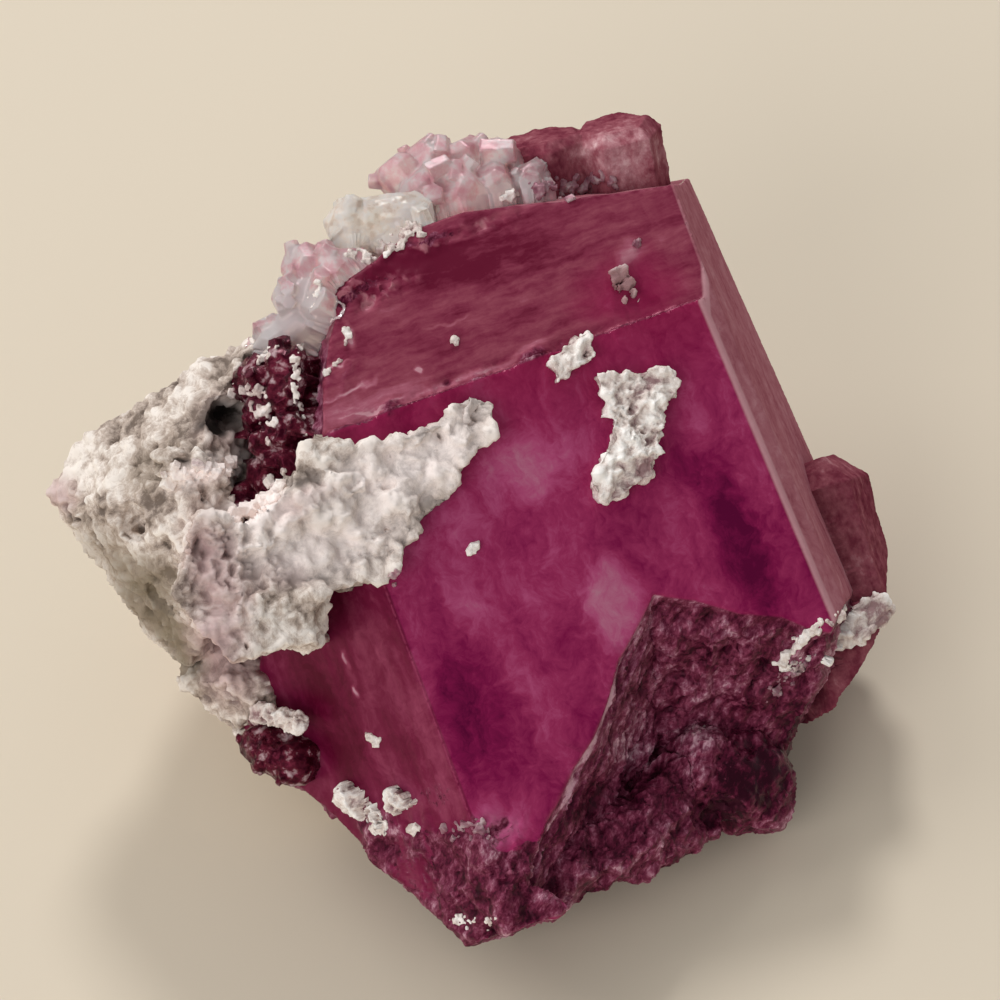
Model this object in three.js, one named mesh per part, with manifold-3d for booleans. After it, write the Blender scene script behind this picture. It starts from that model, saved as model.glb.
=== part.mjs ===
// A hand specimen of red beryl on its rhyolite matrix, in millimetres, +Z up.
//
// One stout six-sided beryl crystal leans against a block of pale rhyolite. The foot of the crystal is
// broken off, small crystals sit on its upper end and against its right side, and scraps of the rock
// still cling to its broad face. The specimen rests on a flat break under the matrix.
//
// Everything is modelled in the crystal's own upright frame and laid back at the end:
//   x runs to the right across the broad face, y runs away from the viewer into the specimen, and
//   z runs up the crystal's long axis.

import * as THREE from "three";
import Module from "manifold-3d";
import { ConvexGeometry } from "three/addons/geometries/ConvexGeometry.js";
import { ImprovedNoise } from "three/addons/math/ImprovedNoise.js";
import { TessellateModifier } from "three/addons/modifiers/TessellateModifier.js";
import { mergeVertices } from "three/addons/utils/BufferGeometryUtils.js";

// ---------------------------------------------------------------- driving dimensions, in mm and degrees

const LEAN_BACK = 48; // how far the upright specimen is laid back to rest
const TILT_LEFT = 20.4; // how far the crystal's long axis leans left, seen from the front
const FACE_TURN = 18.5; // how far the broad face is turned to the right about the long axis
const FACE_DEPTH = 2.6; // the broad face stands this far in front of the frame's origin
const SEAM = 0.12; // the clearance between two pieces that touch

const CRYSTAL_THICK = 7.2; // from the broad face to the back face
const CRYSTAL_TOP = 6.75; // height of the upper end above the origin
const CRYSTAL_FOOT = -9.55; // height of the broken foot
const GROUND = -7.1; // height of the resting plane, once laid back

// ---------------------------------------------------------------- small helpers

const wasm = await Module();
wasm.setup();
const wobble = new ImprovedNoise();
const degrees = THREE.MathUtils.degToRad;
const vector = (x, y, z) => new THREE.Vector3(x, y, z);

// A closed three.js geometry as a manifold-3d solid.
function solid(geometry, matrix = new THREE.Matrix4()) {
  const bare = new THREE.BufferGeometry();
  const flat = geometry.index ? geometry.toNonIndexed() : geometry;
  bare.setAttribute("position", flat.getAttribute("position").clone());
  bare.applyMatrix4(matrix);
  const merged = mergeVertices(bare, 1e-4);
  return new wasm.Manifold(
    new wasm.Mesh({
      numProp: 3,
      vertProperties: merged.attributes.position.array,
      triVerts: new Uint32Array(merged.index.array),
    }),
  );
}

// A manifold-3d solid as a three.js geometry with shared vertices.
function geometryOf(body) {
  const mesh = body.getMesh();
  const places = new Float32Array(mesh.numVert * 3);
  for (let i = 0; i < mesh.numVert; i++) {
    places.set(mesh.vertProperties.subarray(i * mesh.numProp, i * mesh.numProp + 3), i * 3);
  }
  const geometry = new THREE.BufferGeometry();
  geometry.setAttribute("position", new THREE.BufferAttribute(places, 3));
  geometry.setIndex(new THREE.BufferAttribute(new Uint32Array(mesh.triVerts), 1));
  return geometry;
}

// The corners of a solid.
function cornersOf(body) {
  const places = geometryOf(body).getAttribute("position");
  return Array.from({ length: places.count }, (_, i) => [places.getX(i), places.getY(i), places.getZ(i)]);
}

const joined = (bodies) => bodies.reduce((whole, body) => whole.add(body));

// The convex solid around some points.
const hull = (points) => solid(new ConvexGeometry(points.map((p) => vector(...p))));

// A repeatable source of numbers from 0 to 1.
function dice(seed) {
  let state = seed;
  return () => {
    state = (state * 1664525 + 1013904223) % 4294967296;
    return state / 4294967296;
  };
}

// Noise of two sizes of lump, from about -1 to 1.
function lumps(point, grain, seed) {
  const p = point.clone().divideScalar(grain).addScalar(seed * 7.3);
  const broad = wobble.noise(p.x, p.y, p.z);
  p.multiplyScalar(2.3);
  return 1.3 * (broad + 0.5 * wobble.noise(p.x, p.y, p.z));
}

// Every point of a solid moved along its own normal by shift(point, normal).
function pushed(body, shift, edge = Infinity) {
  let geometry = geometryOf(body);
  if (edge < Infinity) {
    geometry = new TessellateModifier(edge, 14).modify(geometry);
    for (const name of ["normal", "uv"]) {
      geometry.deleteAttribute(name);
    }
    geometry = mergeVertices(geometry, 1e-4);
  }
  geometry.computeVertexNormals();
  const places = geometry.getAttribute("position");
  const normals = geometry.getAttribute("normal");
  for (let i = 0; i < places.count; i++) {
    const point = new THREE.Vector3().fromBufferAttribute(places, i);
    const normal = new THREE.Vector3().fromBufferAttribute(normals, i);
    point.addScaledVector(normal, shift(point, normal));
    places.setXYZ(i, point.x, point.y, point.z);
  }
  return solid(geometry);
}

const grown = (body, by) => pushed(body, () => by);

// A broken surface: faces split to `edge`, then moved in and out by up to about `depth`.
const rough = (body, edge, depth, grain, seed) =>
  pushed(body, (point) => depth * lumps(point, grain, seed), edge);

// A lump of rock or broken crystal: an ellipsoid with a rough skin.
function lump([x, y, z], [rx, ry, rz], seed, edge = 0.8, depth = 0.1) {
  const ball = new THREE.IcosahedronGeometry(1, 1);
  const place = new THREE.Matrix4().makeTranslation(x, y, z).scale(vector(rx, ry, rz));
  return rough(solid(ball, place), edge, depth, Math.min(rx, ry, rz) * 1.2, seed);
}

// A long lump: the hull of two rough balls, each given as [centre, radius].
function longLump(first, second, seed, edge = 0.7, depth = 0.1) {
  const points = [];
  for (const [[x, y, z], radius] of [first, second]) {
    const ball = new THREE.IcosahedronGeometry(radius, 1).getAttribute("position");
    for (let i = 0; i < ball.count; i++) {
      points.push([x + ball.getX(i), y + ball.getY(i), z + ball.getZ(i)]);
    }
  }
  return rough(hull(points), edge, depth, first[1] * 1.3, seed);
}

// What lies in front of a plane: a block with one face on the plane, to cut with. With a `depth`
// that face is a rough break, its points `edge` apart.
function beyond({ point, faces, reach = 30, edge = reach, depth = 0, grain = 1.4, seed = 1 }) {
  const steps = Math.ceil(reach / edge);
  const block = new THREE.BoxGeometry(reach, reach, reach, steps, steps, 1);
  block.translate(0, 0, reach / 2);
  const places = block.getAttribute("position");
  for (let i = 0; i < places.count; i++) {
    const place = new THREE.Vector3().fromBufferAttribute(places, i);
    if (Math.abs(place.z) < 1e-6 && depth > 0) {
      places.setZ(i, depth * lumps(place, grain, seed));
    }
  }
  const turn = new THREE.Quaternion().setFromUnitVectors(vector(0, 0, 1), faces.clone().normalize());
  return solid(block, new THREE.Matrix4().compose(vector(...point), turn, vector(1, 1, 1)));
}

// A six-sided crystal standing on the origin: a prism with a bevelled flat end.
function hexagonalCrystal(radius, length, bevel, stretch = 1) {
  const points = [];
  for (let i = 0; i < 6; i++) {
    const angle = degrees(60 * i);
    const x = Math.cos(angle) * stretch;
    const y = Math.sin(angle);
    points.push([x * radius, y * radius, 0]);
    points.push([x * radius, y * radius, length - bevel]);
    points.push([x * (radius - bevel), y * (radius - bevel), length]);
  }
  return hull(points);
}

// A solid stood at a point with its own z axis along `axis`, spun about that axis first.
function stood(body, point, axis, spin = 0) {
  const turn = new THREE.Quaternion().setFromUnitVectors(vector(0, 0, 1), axis.clone().normalize());
  turn.multiply(new THREE.Quaternion().setFromAxisAngle(vector(0, 0, 1), degrees(spin)));
  const place = new THREE.Matrix4().compose(vector(...point), turn, vector(1, 1, 1));
  return solid(geometryOf(body), place);
}

// ---------------------------------------------------------------- the broad face

const FACE_SLOPE = Math.tan(degrees(FACE_TURN)); // the broad face recedes this much per mm to the right
const faceAt = (x) => FACE_SLOPE * x - FACE_DEPTH;

// Takes a slab drawn in x and y and raised in z: stands it up and slopes it to follow the broad face.
const ONTO_FACE = new THREE.Matrix4()
  .set(1, 0, 0, 0, FACE_SLOPE, 1, 0, -FACE_DEPTH, 0, 0, 1, 0, 0, 0, 0, 1)
  .multiply(new THREE.Matrix4().makeRotationX(Math.PI / 2));

// Directions across the broad face: out of it, and along it to the right.
const FACE_OUT = vector(Math.sin(degrees(FACE_TURN)), -Math.cos(degrees(FACE_TURN)), 0);
const FACE_RIGHT = vector(Math.cos(degrees(FACE_TURN)), Math.sin(degrees(FACE_TURN)), 0);

// A direction given as [right along the face, out of the face, up the crystal].
function onFace([right, out, up]) {
  return FACE_RIGHT.clone().multiplyScalar(right).addScaledVector(FACE_OUT, out).add(vector(0, 0, up));
}

// ---------------------------------------------------------------- the large crystal

// The prism faces: the angle of each from the broad face, its distance from the middle of the broad
// face, and how far it leans in towards the upper end, in degrees. The face at 30 is a narrow bevel.
const PRISM_FACES = [
  [0, 0, 0],
  [30, 3.33, 1.25],
  [60, 6.04, 2.2],
  [120, 9.97, 9.2],
  [180, CRYSTAL_THICK, 0],
  [240, 8.5, 0],
  [300, 2.95, 0],
];

// The step that runs across the upper part of the broad face, above which the face leans back.
const STEP_HEIGHT = 2.85;
const STEP_DEPTH = 0.12;
const BAND_LEAN = 15;

// The upper end falls away to the left and to the right of a low crown, and its left corner is gone.
const TOP_BREAK = { reach: 18, edge: 1.2, depth: 0.12 };
const TOP_BREAKS = [
  { ...TOP_BREAK, point: [-2.3, 0, 5.6], faces: vector(-0.39, 0.04, 0.92), seed: 6 },
  { ...TOP_BREAK, point: [4.5, 0, 6.1], faces: vector(0.225, -0.09, 0.974), depth: 0.08, seed: 7 },
  { ...TOP_BREAK, point: [-3.4, 0, 4.3], faces: vector(-0.84, -0.2, 0.5), seed: 8 },
];

// The broken foot. The notch is what lies in front of both of its planes.
const NOTCH_CORNER = [2.6, faceAt(2.6), -3.25];
const NOTCH_BREAK = { point: NOTCH_CORNER, reach: 14, edge: 0.9, depth: 0.15 };
const NOTCH = [
  { ...NOTCH_BREAK, faces: onFace([0.52, 0.68, -0.53]), seed: 9 },
  { ...NOTCH_BREAK, faces: onFace([-0.3, 0.8, -0.52]), seed: 10 },
];
const UNDERSIDE = {
  point: [-2.0, 0.5, -8.1], faces: vector(-0.2, 0.76, -0.62), reach: 36, edge: 2.0, depth: 0.2, seed: 13,
};
const FOOT_BREAK = { reach: 16, edge: 1.1, depth: 0.14 };
const FOOT_BREAKS = [
  { ...FOOT_BREAK, point: [6.75, 0, -5.4], faces: vector(0.72, -0.1, -0.65), seed: 11 },
  { ...FOOT_BREAK, point: [-6.1, -1.2, -6.2], faces: vector(-0.83, 0.2, -0.52), seed: 12 },
  UNDERSIDE,
];

// The bulging masses of broken beryl that the foot keeps below the notch.
const FOOT_EDGE = [
  [-3.3, -3.0, -9.2], [-1.5, -1.9, -9.6], [0.4, -0.9, -9.6], [2.2, 0.0, -9.45], [-1.9, -2.3, -8.3],
  [-0.9, -2.0, -9.1], [1.0, -1.3, -8.9], [0.0, -1.3, -7.9], [1.9, -0.4, -7.5], [-1.2, 1.0, -7.8],
  [0.7, 2.0, -7.0], [2.4, 2.0, -7.2],
];
const FOOT_LOBE = [[[3.2, 1.25, -8.4], 1.3], [[2.4, 0.7, -8.0], 1.2]];

function prismFaceNormal(angle, lean) {
  const a = degrees(angle);
  const l = degrees(lean);
  return onFace([Math.sin(a) * Math.cos(l), Math.cos(a) * Math.cos(l), Math.sin(l)]);
}

// The upper band of the broad face, set in by a step and leaning back: what it takes off the prism.
function bandCut() {
  const lean = degrees(BAND_LEAN);
  const start = vector(0, -FACE_DEPTH, STEP_HEIGHT).addScaledVector(FACE_OUT, -STEP_DEPTH);
  const inFront = beyond({ point: start.toArray(), faces: onFace([0, Math.cos(lean), Math.sin(lean)]) });
  return inFront.intersect(beyond({ point: [0, 0, STEP_HEIGHT], faces: vector(0, 0, 1) }));
}

function mainCrystal() {
  const block = new THREE.BoxGeometry(40, 40, CRYSTAL_TOP - CRYSTAL_FOOT);
  block.translate(0, 0, (CRYSTAL_TOP + CRYSTAL_FOOT) / 2);
  let crystal = solid(block);
  for (const [angle, distance, lean] of PRISM_FACES) {
    const faces = prismFaceNormal(angle, lean);
    const point = vector(0, -FACE_DEPTH, 0).addScaledVector(faces, distance);
    crystal = crystal.subtract(beyond({ point: point.toArray(), faces }));
  }
  crystal = crystal.subtract(bandCut());
  for (const cut of [...TOP_BREAKS, ...FOOT_BREAKS]) {
    crystal = crystal.subtract(beyond(cut));
  }
  crystal = crystal.subtract(beyond(NOTCH[0]).intersect(beyond(NOTCH[1])));
  const edge = rough(hull(FOOT_EDGE), 1.0, 0.16, 1.2, 14);
  const lobe = longLump(...FOOT_LOBE, 15, 1.0, 0.16);
  return largest(joined([crystal, edge, lobe]));
}

// The biggest of a solid's separate bodies: a rough cut can leave crumbs.
function largest(body) {
  return body.decompose().reduce((best, part) => (part.volume() > best.volume() ? part : best));
}

// ---------------------------------------------------------------- the small crystals of beryl

// Two stout crystals grown into one behind the right half of the upper end.
function topCrystal() {
  const tall = hexagonalCrystal(1.2, 4.2, 0.3);
  const shelf = hexagonalCrystal(1.15, 3.2, 0.2, 1.1);
  return joined([
    stood(tall, [5.05, 3.2, 3.75], vector(0.18, -0.35, 0.98), 10),
    stood(shelf, [3.45, 2.7, 4.95], vector(0.18, -0.3, 0.98), 35),
  ]);
}

// A crystal behind the right edge, broken off below on a slant.
function sideCrystal() {
  const whole = stood(hexagonalCrystal(1.9, 8.6, 0.7), [6.25, 3.4, -10.3], vector(0.085, 0.02, 1), 12);
  const foot = { ...FOOT_BREAK, point: [6.6, 2.0, -6.95], faces: vector(0.53, 0.4, -0.75), seed: 16 };
  return whole.subtract(beyond(foot)).subtract(beyond(UNDERSIDE));
}

// Small six-sided crystals grown through one another: each is [centre, radius, length], and `lean`
// is the way that they point on average.
function cluster(grains, seed, lean) {
  const roll = dice(seed);
  const crystals = grains.map(([centre, radius, length]) => {
    const axis = vector(lean[0] + roll() - 0.5, lean[1] + roll() - 0.5, lean[2] + roll() - 0.5);
    const grain = hexagonalCrystal(radius, length, radius * 0.35, 0.85 + 0.4 * roll());
    const back = axis.clone().normalize().multiplyScalar(-length / 2);
    return stood(grain, vector(...centre).add(back).toArray(), axis, 60 * roll());
  });
  return joined(crystals);
}

const RIM_DRUSE = [
  [[0.5, 0.5, 8.0], 0.6, 1.3], [[1.25, 0.9, 8.15], 0.6, 1.3], [[1.0, 0.2, 7.5], 0.64, 1.3],
  [[1.95, 0.9, 7.9], 0.62, 1.2], [[2.75, 1.1, 7.65], 0.56, 1.2], [[1.75, 0.1, 7.2], 0.58, 1.1],
  [[2.5, 0.4, 7.1], 0.55, 1.1], [[3.3, 0.7, 6.9], 0.5, 1.0], [[1.6, 1.6, 7.2], 1.0, 1.6],
];

const CORNER_DRUSE = [
  [[-2.3, -1.2, 6.7], 0.62, 1.3], [[-1.7, -1.6, 6.35], 0.6, 1.2], [[-2.75, -1.4, 6.1], 0.62, 1.2],
  [[-2.2, -1.9, 5.8], 0.56, 1.1], [[-3.0, -1.5, 5.5], 0.58, 1.1], [[-3.6, -1.4, 5.3], 0.5, 1.1],
];

function quartzGrain() {
  return longLump([[-1.0, -0.7, 7.35], 0.68], [[0.3, -0.6, 7.1], 0.56], 17, 0.7, 0.16);
}

// ---------------------------------------------------------------- the rhyolite matrix

// The block at the left and the bed that carries the crystal from behind and below.
const BLOCK = [
  [-10.0, -0.1, 3.9], [-9.95, 0.6, 3.1], [-9.4, -1.1, 2.0], [-9.0, -0.9, 0.4], [-8.7, 0.8, -1.0],
  [-9.0, -2.0, 3.3], [-7.0, -3.7, 1.6], [-7.2, -3.0, -0.5], [-6.6, -3.6, 3.3],
  [-8.7, -0.4, 4.75], [-6.6, -1.3, 5.3], [-4.4, -1.5, 5.3], [-3.4, -0.4, 5.5],
  [-8.4, 3.6, 2.6], [-6.0, 5.6, 4.2], [-4.2, 5.6, 5.0], [-7.6, 4.4, -1.2],
];
const BED = [
  [-8.95, 0.3, -1.4], [-8.2, 0.2, -2.9], [-7.2, 0.3, -4.4], [-5.4, -0.3, -6.2], [-3.0, 0.4, -7.8],
  [-0.5, 1.6, -8.4], [2.6, 3.0, -7.4], [4.4, 4.4, -5.4], [4.2, 6.6, -2.0], [2.4, 7.9, 1.2],
  [-1.0, 8.2, 3.2], [-5.0, 6.6, 4.4], [-7.6, 4.4, 1.0], [-6.6, 6.6, -2.6], [-2.4, 9.4, -1.6],
  [1.6, 9.6, -2.2], [-7.6, -1.0, -1.8], [-6.2, 3.2, -5.6], [-0.3, 3.3, -7.9], [2.2, 5.5, -6.1],
];

// The tongue of rock that crosses onto the broad face: its outline seen from the front, as [x, z].
const TONGUE = [
  [-3.5, 2.95], [-2.7, 2.35], [-1.75, 2.2], [-0.75, 2.2], [0.15, 2.6], [0.75, 2.2], [0.4, 1.5],
  [-0.6, 1.0], [-1.1, 0.3], [-1.75, 0.1], [-2.5, -0.3], [-3.1, -0.85], [-4.7, -0.65], [-5.1, -1.7],
  [-5.9, -1.4], [-7.1, -1.35], [-7.8, 0.6], [-6.6, 2.2], [-5.6, 1.4], [-4.5, 2.0],
];
const TONGUE_PROUD = 0.5; // how far the tongue stands out of the broad face
const TONGUE_THICK = 3.6; // how deep it goes from there, into the block on the left

// The open pocket between the block and the crystal, and the hole that leads on from it.
const POCKET = [
  [-4.9, -5, 5.2], [-3.3, -5, 5.4], [-3.5, -5, 3.6], [-4.3, -5, 2.3], [-5.9, -5, 1.2], [-6.1, -5, 1.6],
  [-5.3, -5, 3.4], [-4.7, -1.8, 5.0], [-3.4, -1.8, 5.2], [-3.8, -1.8, 3.2], [-5.9, -2.0, 1.5],
];
const HOLE = [[[-5.4, -3.4, 4.1], 0.5], [[-5.3, -1.6, 4.1], 0.4]];

// Pits in the weathered face of the block, and higher knobs along the edge of the pocket.
const PITS = [
  [[-8.3, -2.4, 2.5], 0.5], [[-8.4, -1.6, 0.6], 0.55], [[-7.6, -3.4, 0.9], 0.45],
  [[-7.2, 4.8, 1.2], 0.8], [[-3.6, 7.6, 1.4], 0.9],
];
const KNOBS = [
  [[[-6.9, -3.2, 3.5], 0.42], [[-6.2, -3.1, 3.2], 0.36]],
  [[[-5.3, -3.2, 1.6], 0.45], [[-4.3, -3.6, 2.1], 0.4]],
];

function tongue() {
  const outline = new THREE.Shape(TONGUE.map(([x, z]) => new THREE.Vector2(x, z)));
  const slab = new THREE.ExtrudeGeometry(outline, { depth: TONGUE_THICK, bevelEnabled: false });
  slab.applyMatrix4(ONTO_FACE);
  slab.translate(0, TONGUE_THICK - TONGUE_PROUD, 0);
  return rough(solid(slab), 1.1, 0.16, 0.9, 21);
}

function matrixRock(neighbours) {
  const block = rough(hull(BLOCK), 1.7, 0.36, 1.8, 22);
  const bed = rough(hull(BED), 2.4, 0.4, 2.6, 23);
  const knobs = KNOBS.map((ends, i) => longLump(...ends, 24 + i));
  let rock = joined([block, bed, tongue()]);
  rock = rock.subtract(rough(hull(POCKET), 1.2, 0.14, 1.0, 26)).subtract(longLump(...HOLE, 27));
  rock = joined([rock, ...knobs]);
  PITS.forEach(([centre, radius], i) => {
    rock = rock.subtract(lump(centre, [radius, radius, radius], 28 + i));
  });
  return fitted(rock, neighbours).trimByPlane(UP.toArray(), GROUND);
}

// ---------------------------------------------------------------- scraps of rock on the broad face

// Outlines on the broad face, seen from the front as [x, z], each with its height above the face.
const SCRAPS = {
  large_rock_scrap: {
    proud: 0.45,
    outline: [
      [3.2, 2.0], [4.1, 1.75], [4.8, 1.6], [5.1, 1.15], [4.55, 0.7], [4.05, 0.1], [3.6, -0.7],
      [2.9, -0.9], [2.35, -1.0], [2.1, -0.45], [2.8, 0.25], [3.2, 0.8], [3.1, 1.4],
    ],
  },
  square_rock_scrap: { proud: 0.3, outline: [[2.3, 2.78], [3.35, 3.05], [3.3, 2.4], [2.25, 2.15]] },
  upper_rock_scrap: {
    proud: 0.22,
    outline: [[4.3, 4.2], [4.75, 4.2], [5.15, 3.2], [4.7, 3.1], [4.35, 3.45]],
  },
};

const SCRAP_ROOT = 1; // how far a scrap is drawn into the crystal, before it is fitted to it

// How far the face lies behind the plane of the broad face at height z: the upper band leans back.
function bandDepth(z) {
  return z > STEP_HEIGHT ? STEP_DEPTH + (z - STEP_HEIGHT) * Math.tan(degrees(BAND_LEAN)) : 0;
}

function scrap({ proud, outline }, seed) {
  const shape = new THREE.Shape(outline.map(([x, z]) => new THREE.Vector2(x, z)));
  const slab = new THREE.ExtrudeGeometry(shape, { depth: proud + SCRAP_ROOT, bevelEnabled: false });
  slab.applyMatrix4(ONTO_FACE);
  const middle = outline.reduce((sum, [, z]) => sum + z, 0) / outline.length;
  slab.translate(0, bandDepth(middle) + SCRAP_ROOT, 0);
  return rough(solid(slab), 0.7, 0.06, 0.5, seed);
}

// ---------------------------------------------------------------- scraps along the left edge and the foot

const EDGE_BERYL = [[[-7.35, -0.6, -3.55], 0.62], [[-6.75, -1.05, -4.15], 0.55]];

const POCKET_DRUSE = [
  [[-3.6, -2.8, 4.75], 0.46, 1.0], [[-4.3, -2.5, 4.6], 0.46, 1.0], [[-3.85, -2.85, 4.1], 0.46, 1.0],
  [[-4.5, -2.5, 3.85], 0.46, 1.0], [[-3.95, -2.95, 3.35], 0.44, 0.9], [[-4.6, -2.55, 3.1], 0.46, 1.0],
  [[-4.3, -2.8, 2.65], 0.42, 0.9], [[-4.95, -2.4, 2.45], 0.44, 1.0], [[-5.5, -2.2, 1.95], 0.42, 0.9],
];

// Scraps of rock caught in the hollows and on the left face: two ends of each, and its seed.
const CAUGHT_SCRAPS = {
  vein_rock: [[[6.6, 1.4, -6.05], 0.36], [[7.75, 1.9, -5.7], 0.4], 31],
  notch_rock_scrap: [[[5.2, 0.0, -6.1], 0.27], [[5.85, 0.05, -6.2], 0.25], 32],
  foot_rock_scrap: [[[-5.8, -1.45, -5.3], 0.38], [[-5.35, -1.85, -6.15], 0.32], 33],
  heel_rock_scrap: [[[-4.65, -2.45, -5.85], 0.38], [[-4.25, -2.7, -5.8], 0.26], 35],
  left_rock_scrap: [[[-7.2, -1.05, -2.75], 0.24], [[-6.35, -1.6, -3.25], 0.26], 36],
};

// ---------------------------------------------------------------- finishes

const finish = (colour, roughness) =>
  new THREE.MeshStandardMaterial({ color: colour, roughness, metalness: 0, flatShading: true });

const RED_BERYL = finish(0x7a1747, 0.2);
const PALE_BERYL = finish(0xb77f90, 0.25);
const DARK_BERYL = finish(0x4b1a33, 0.3);
const QUARTZ = finish(0xd8cfc4, 0.2);
const RHYOLITE = finish(0xbdb5aa, 0.9);
const WHITE_RHYOLITE = finish(0xd9d2c6, 0.9);

// ---------------------------------------------------------------- assembly

// The upright frame turned into its resting position.
const REST = new THREE.Matrix4()
  .makeRotationX(-degrees(LEAN_BACK))
  .multiply(new THREE.Matrix4().makeRotationY(-degrees(TILT_LEFT)));
const UP = vector(0, 0, 1).applyMatrix4(REST.clone().invert());

// A solid clear of all its neighbours by the seam, in one body.
function fitted(body, neighbours) {
  const cut = neighbours.reduce((left, neighbour) => left.subtract(grown(neighbour, SEAM)), body);
  return largest(cut);
}

const big = mainCrystal();
const top = fitted(topCrystal(), [big]);
const side = fitted(sideCrystal(), [big]);
const rim = fitted(cluster(RIM_DRUSE, 41, [-0.2, -0.6, 0.9]), [big, top]);
const quartz = fitted(quartzGrain(), [big, rim]);
const corner = fitted(cluster(CORNER_DRUSE, 42, [-0.6, -0.6, 0.7]), [big, quartz]);
const pocket = fitted(cluster(POCKET_DRUSE, 43, [-0.2, -1, 0.3]), [big]);
const edge = fitted(longLump(...EDGE_BERYL, 44), [big]);
const caught = Object.entries(CAUGHT_SCRAPS).map(([name, [first, second, seed]]) => {
  return [name, fitted(longLump(first, second, seed, 0.7, 0.12), [big, side, edge]), WHITE_RHYOLITE];
});
const hollows = [corner, pocket].map((druse) => hull(cornersOf(druse)));
const rock = matrixRock([big, side, quartz, edge, ...hollows, ...caught.map(([, body]) => body)]);

const pieces = [
  ["main_crystal", big, RED_BERYL],
  ["top_crystal", top, RED_BERYL],
  ["side_crystal", side, RED_BERYL],
  ["rim_druse", rim, PALE_BERYL],
  ["corner_druse", corner, PALE_BERYL],
  ["quartz_grain", quartz, QUARTZ],
  ["pocket_druse", pocket, DARK_BERYL],
  ["edge_beryl", edge, DARK_BERYL],
  ["matrix", rock, RHYOLITE],
  ...caught,
];
Object.entries(SCRAPS).forEach(([name, shape], i) => {
  pieces.push([name, fitted(scrap(shape, 51 + i), [big]), WHITE_RHYOLITE]);
});

const specimen = new THREE.Group();
for (const [name, body, material] of pieces) {
  const mesh = new THREE.Mesh(geometryOf(body).toNonIndexed(), material);
  mesh.name = name;
  specimen.add(mesh);
}
specimen.applyMatrix4(REST);

// The origin goes to the middle of the specimen's box, on the resting plane.
const box = new THREE.Box3().setFromObject(specimen, true);
const middle = box.getCenter(new THREE.Vector3());
specimen.position.sub(vector(middle.x, middle.y, box.min.z));

const object = new THREE.Group();
object.add(specimen);
export default object;
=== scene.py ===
# %% [markdown]
# # Red beryl on its rhyolite matrix
#
# A mineral specimen is two very different surfaces side by side: glassy crystal faces that are flat to
# a few thousandths of a millimetre, and broken rock that has relief at every scale. This notebook
# dresses a imported model of such a specimen. The imported solids hold its true size and main forms, and
# stay where they are. Each cell makes one of its finishes in Blender.
#
# First the imported model is loaded. Its box is kept, to be printed at the end beside the dressed box.

# %% Load the fixed frame
import math

import bmesh
import bpy
import numpy as np
from mathutils import Matrix, Vector


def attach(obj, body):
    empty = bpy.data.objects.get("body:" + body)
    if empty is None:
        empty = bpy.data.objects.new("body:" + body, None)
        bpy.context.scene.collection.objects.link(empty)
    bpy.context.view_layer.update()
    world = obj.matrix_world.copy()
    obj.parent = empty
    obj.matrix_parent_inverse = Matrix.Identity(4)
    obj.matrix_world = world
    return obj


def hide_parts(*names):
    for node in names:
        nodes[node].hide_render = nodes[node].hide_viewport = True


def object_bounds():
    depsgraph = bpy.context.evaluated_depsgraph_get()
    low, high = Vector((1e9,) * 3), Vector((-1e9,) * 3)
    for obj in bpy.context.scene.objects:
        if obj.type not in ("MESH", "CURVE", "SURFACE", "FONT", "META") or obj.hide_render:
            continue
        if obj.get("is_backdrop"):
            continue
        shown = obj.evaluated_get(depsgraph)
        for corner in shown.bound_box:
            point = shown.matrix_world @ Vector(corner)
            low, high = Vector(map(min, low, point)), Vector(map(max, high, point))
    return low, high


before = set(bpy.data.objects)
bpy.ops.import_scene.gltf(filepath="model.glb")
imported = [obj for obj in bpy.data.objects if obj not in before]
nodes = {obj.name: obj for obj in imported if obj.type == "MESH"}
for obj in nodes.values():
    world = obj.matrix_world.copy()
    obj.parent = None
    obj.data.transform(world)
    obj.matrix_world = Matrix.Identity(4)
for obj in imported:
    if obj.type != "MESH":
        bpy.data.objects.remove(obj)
cad_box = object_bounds()
MM = 0.001
print("loaded", len(nodes), "solids")

# %% [markdown]
# ## The crystal's own axes
#
# The specimen lies back on its matrix, so nothing on the crystal is level in the world. Growth lines
# run along or across its long axis, and it is far easier to describe them in the crystal's own upright
# axes: x to the right across the broad face, y into the specimen and z up the long axis, all in
# millimetres. One rotation and one offset go from these axes to the world.

# %% The upright axes and the way back
LEAN_BACK = 48
TILT_LEFT = 20.4
UPRIGHT_ORIGIN = Vector((0.596, 0.077, 7.1))
REST = Matrix.Rotation(-math.radians(LEAN_BACK), 3, "X") @ Matrix.Rotation(-math.radians(TILT_LEFT), 3, "Y")


def to_world(point):
    """A point in the crystal's upright axes, in mm, as a world position in metres."""
    return (REST @ Vector(point) + UPRIGHT_ORIGIN) * MM


print("upright axes: the origin is at", [round(v, 5) for v in to_world((0, 0, 0))])

# %% [markdown]
# ## One helper for every node
#
# Materials and Geometry Nodes are both trees of nodes. One helper adds any node, changes its settings,
# fills or links its inputs and gives back one of its outputs, so a tree reads from top to bottom like
# ordinary sums. A second helper turns a colour from the usual sRGB hex code into the linear numbers
# that a shader wants.

# %% Colours and nodes


def linear(code):
    """An sRGB hex colour such as '#7a1747' as linear red, green, blue and alpha."""
    channels = [int(code[i : i + 2], 16) / 255 for i in (1, 3, 5)]
    return [c / 12.92 if c <= 0.04045 else ((c + 0.055) / 1.055) ** 2.4 for c in channels] + [1.0]


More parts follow.
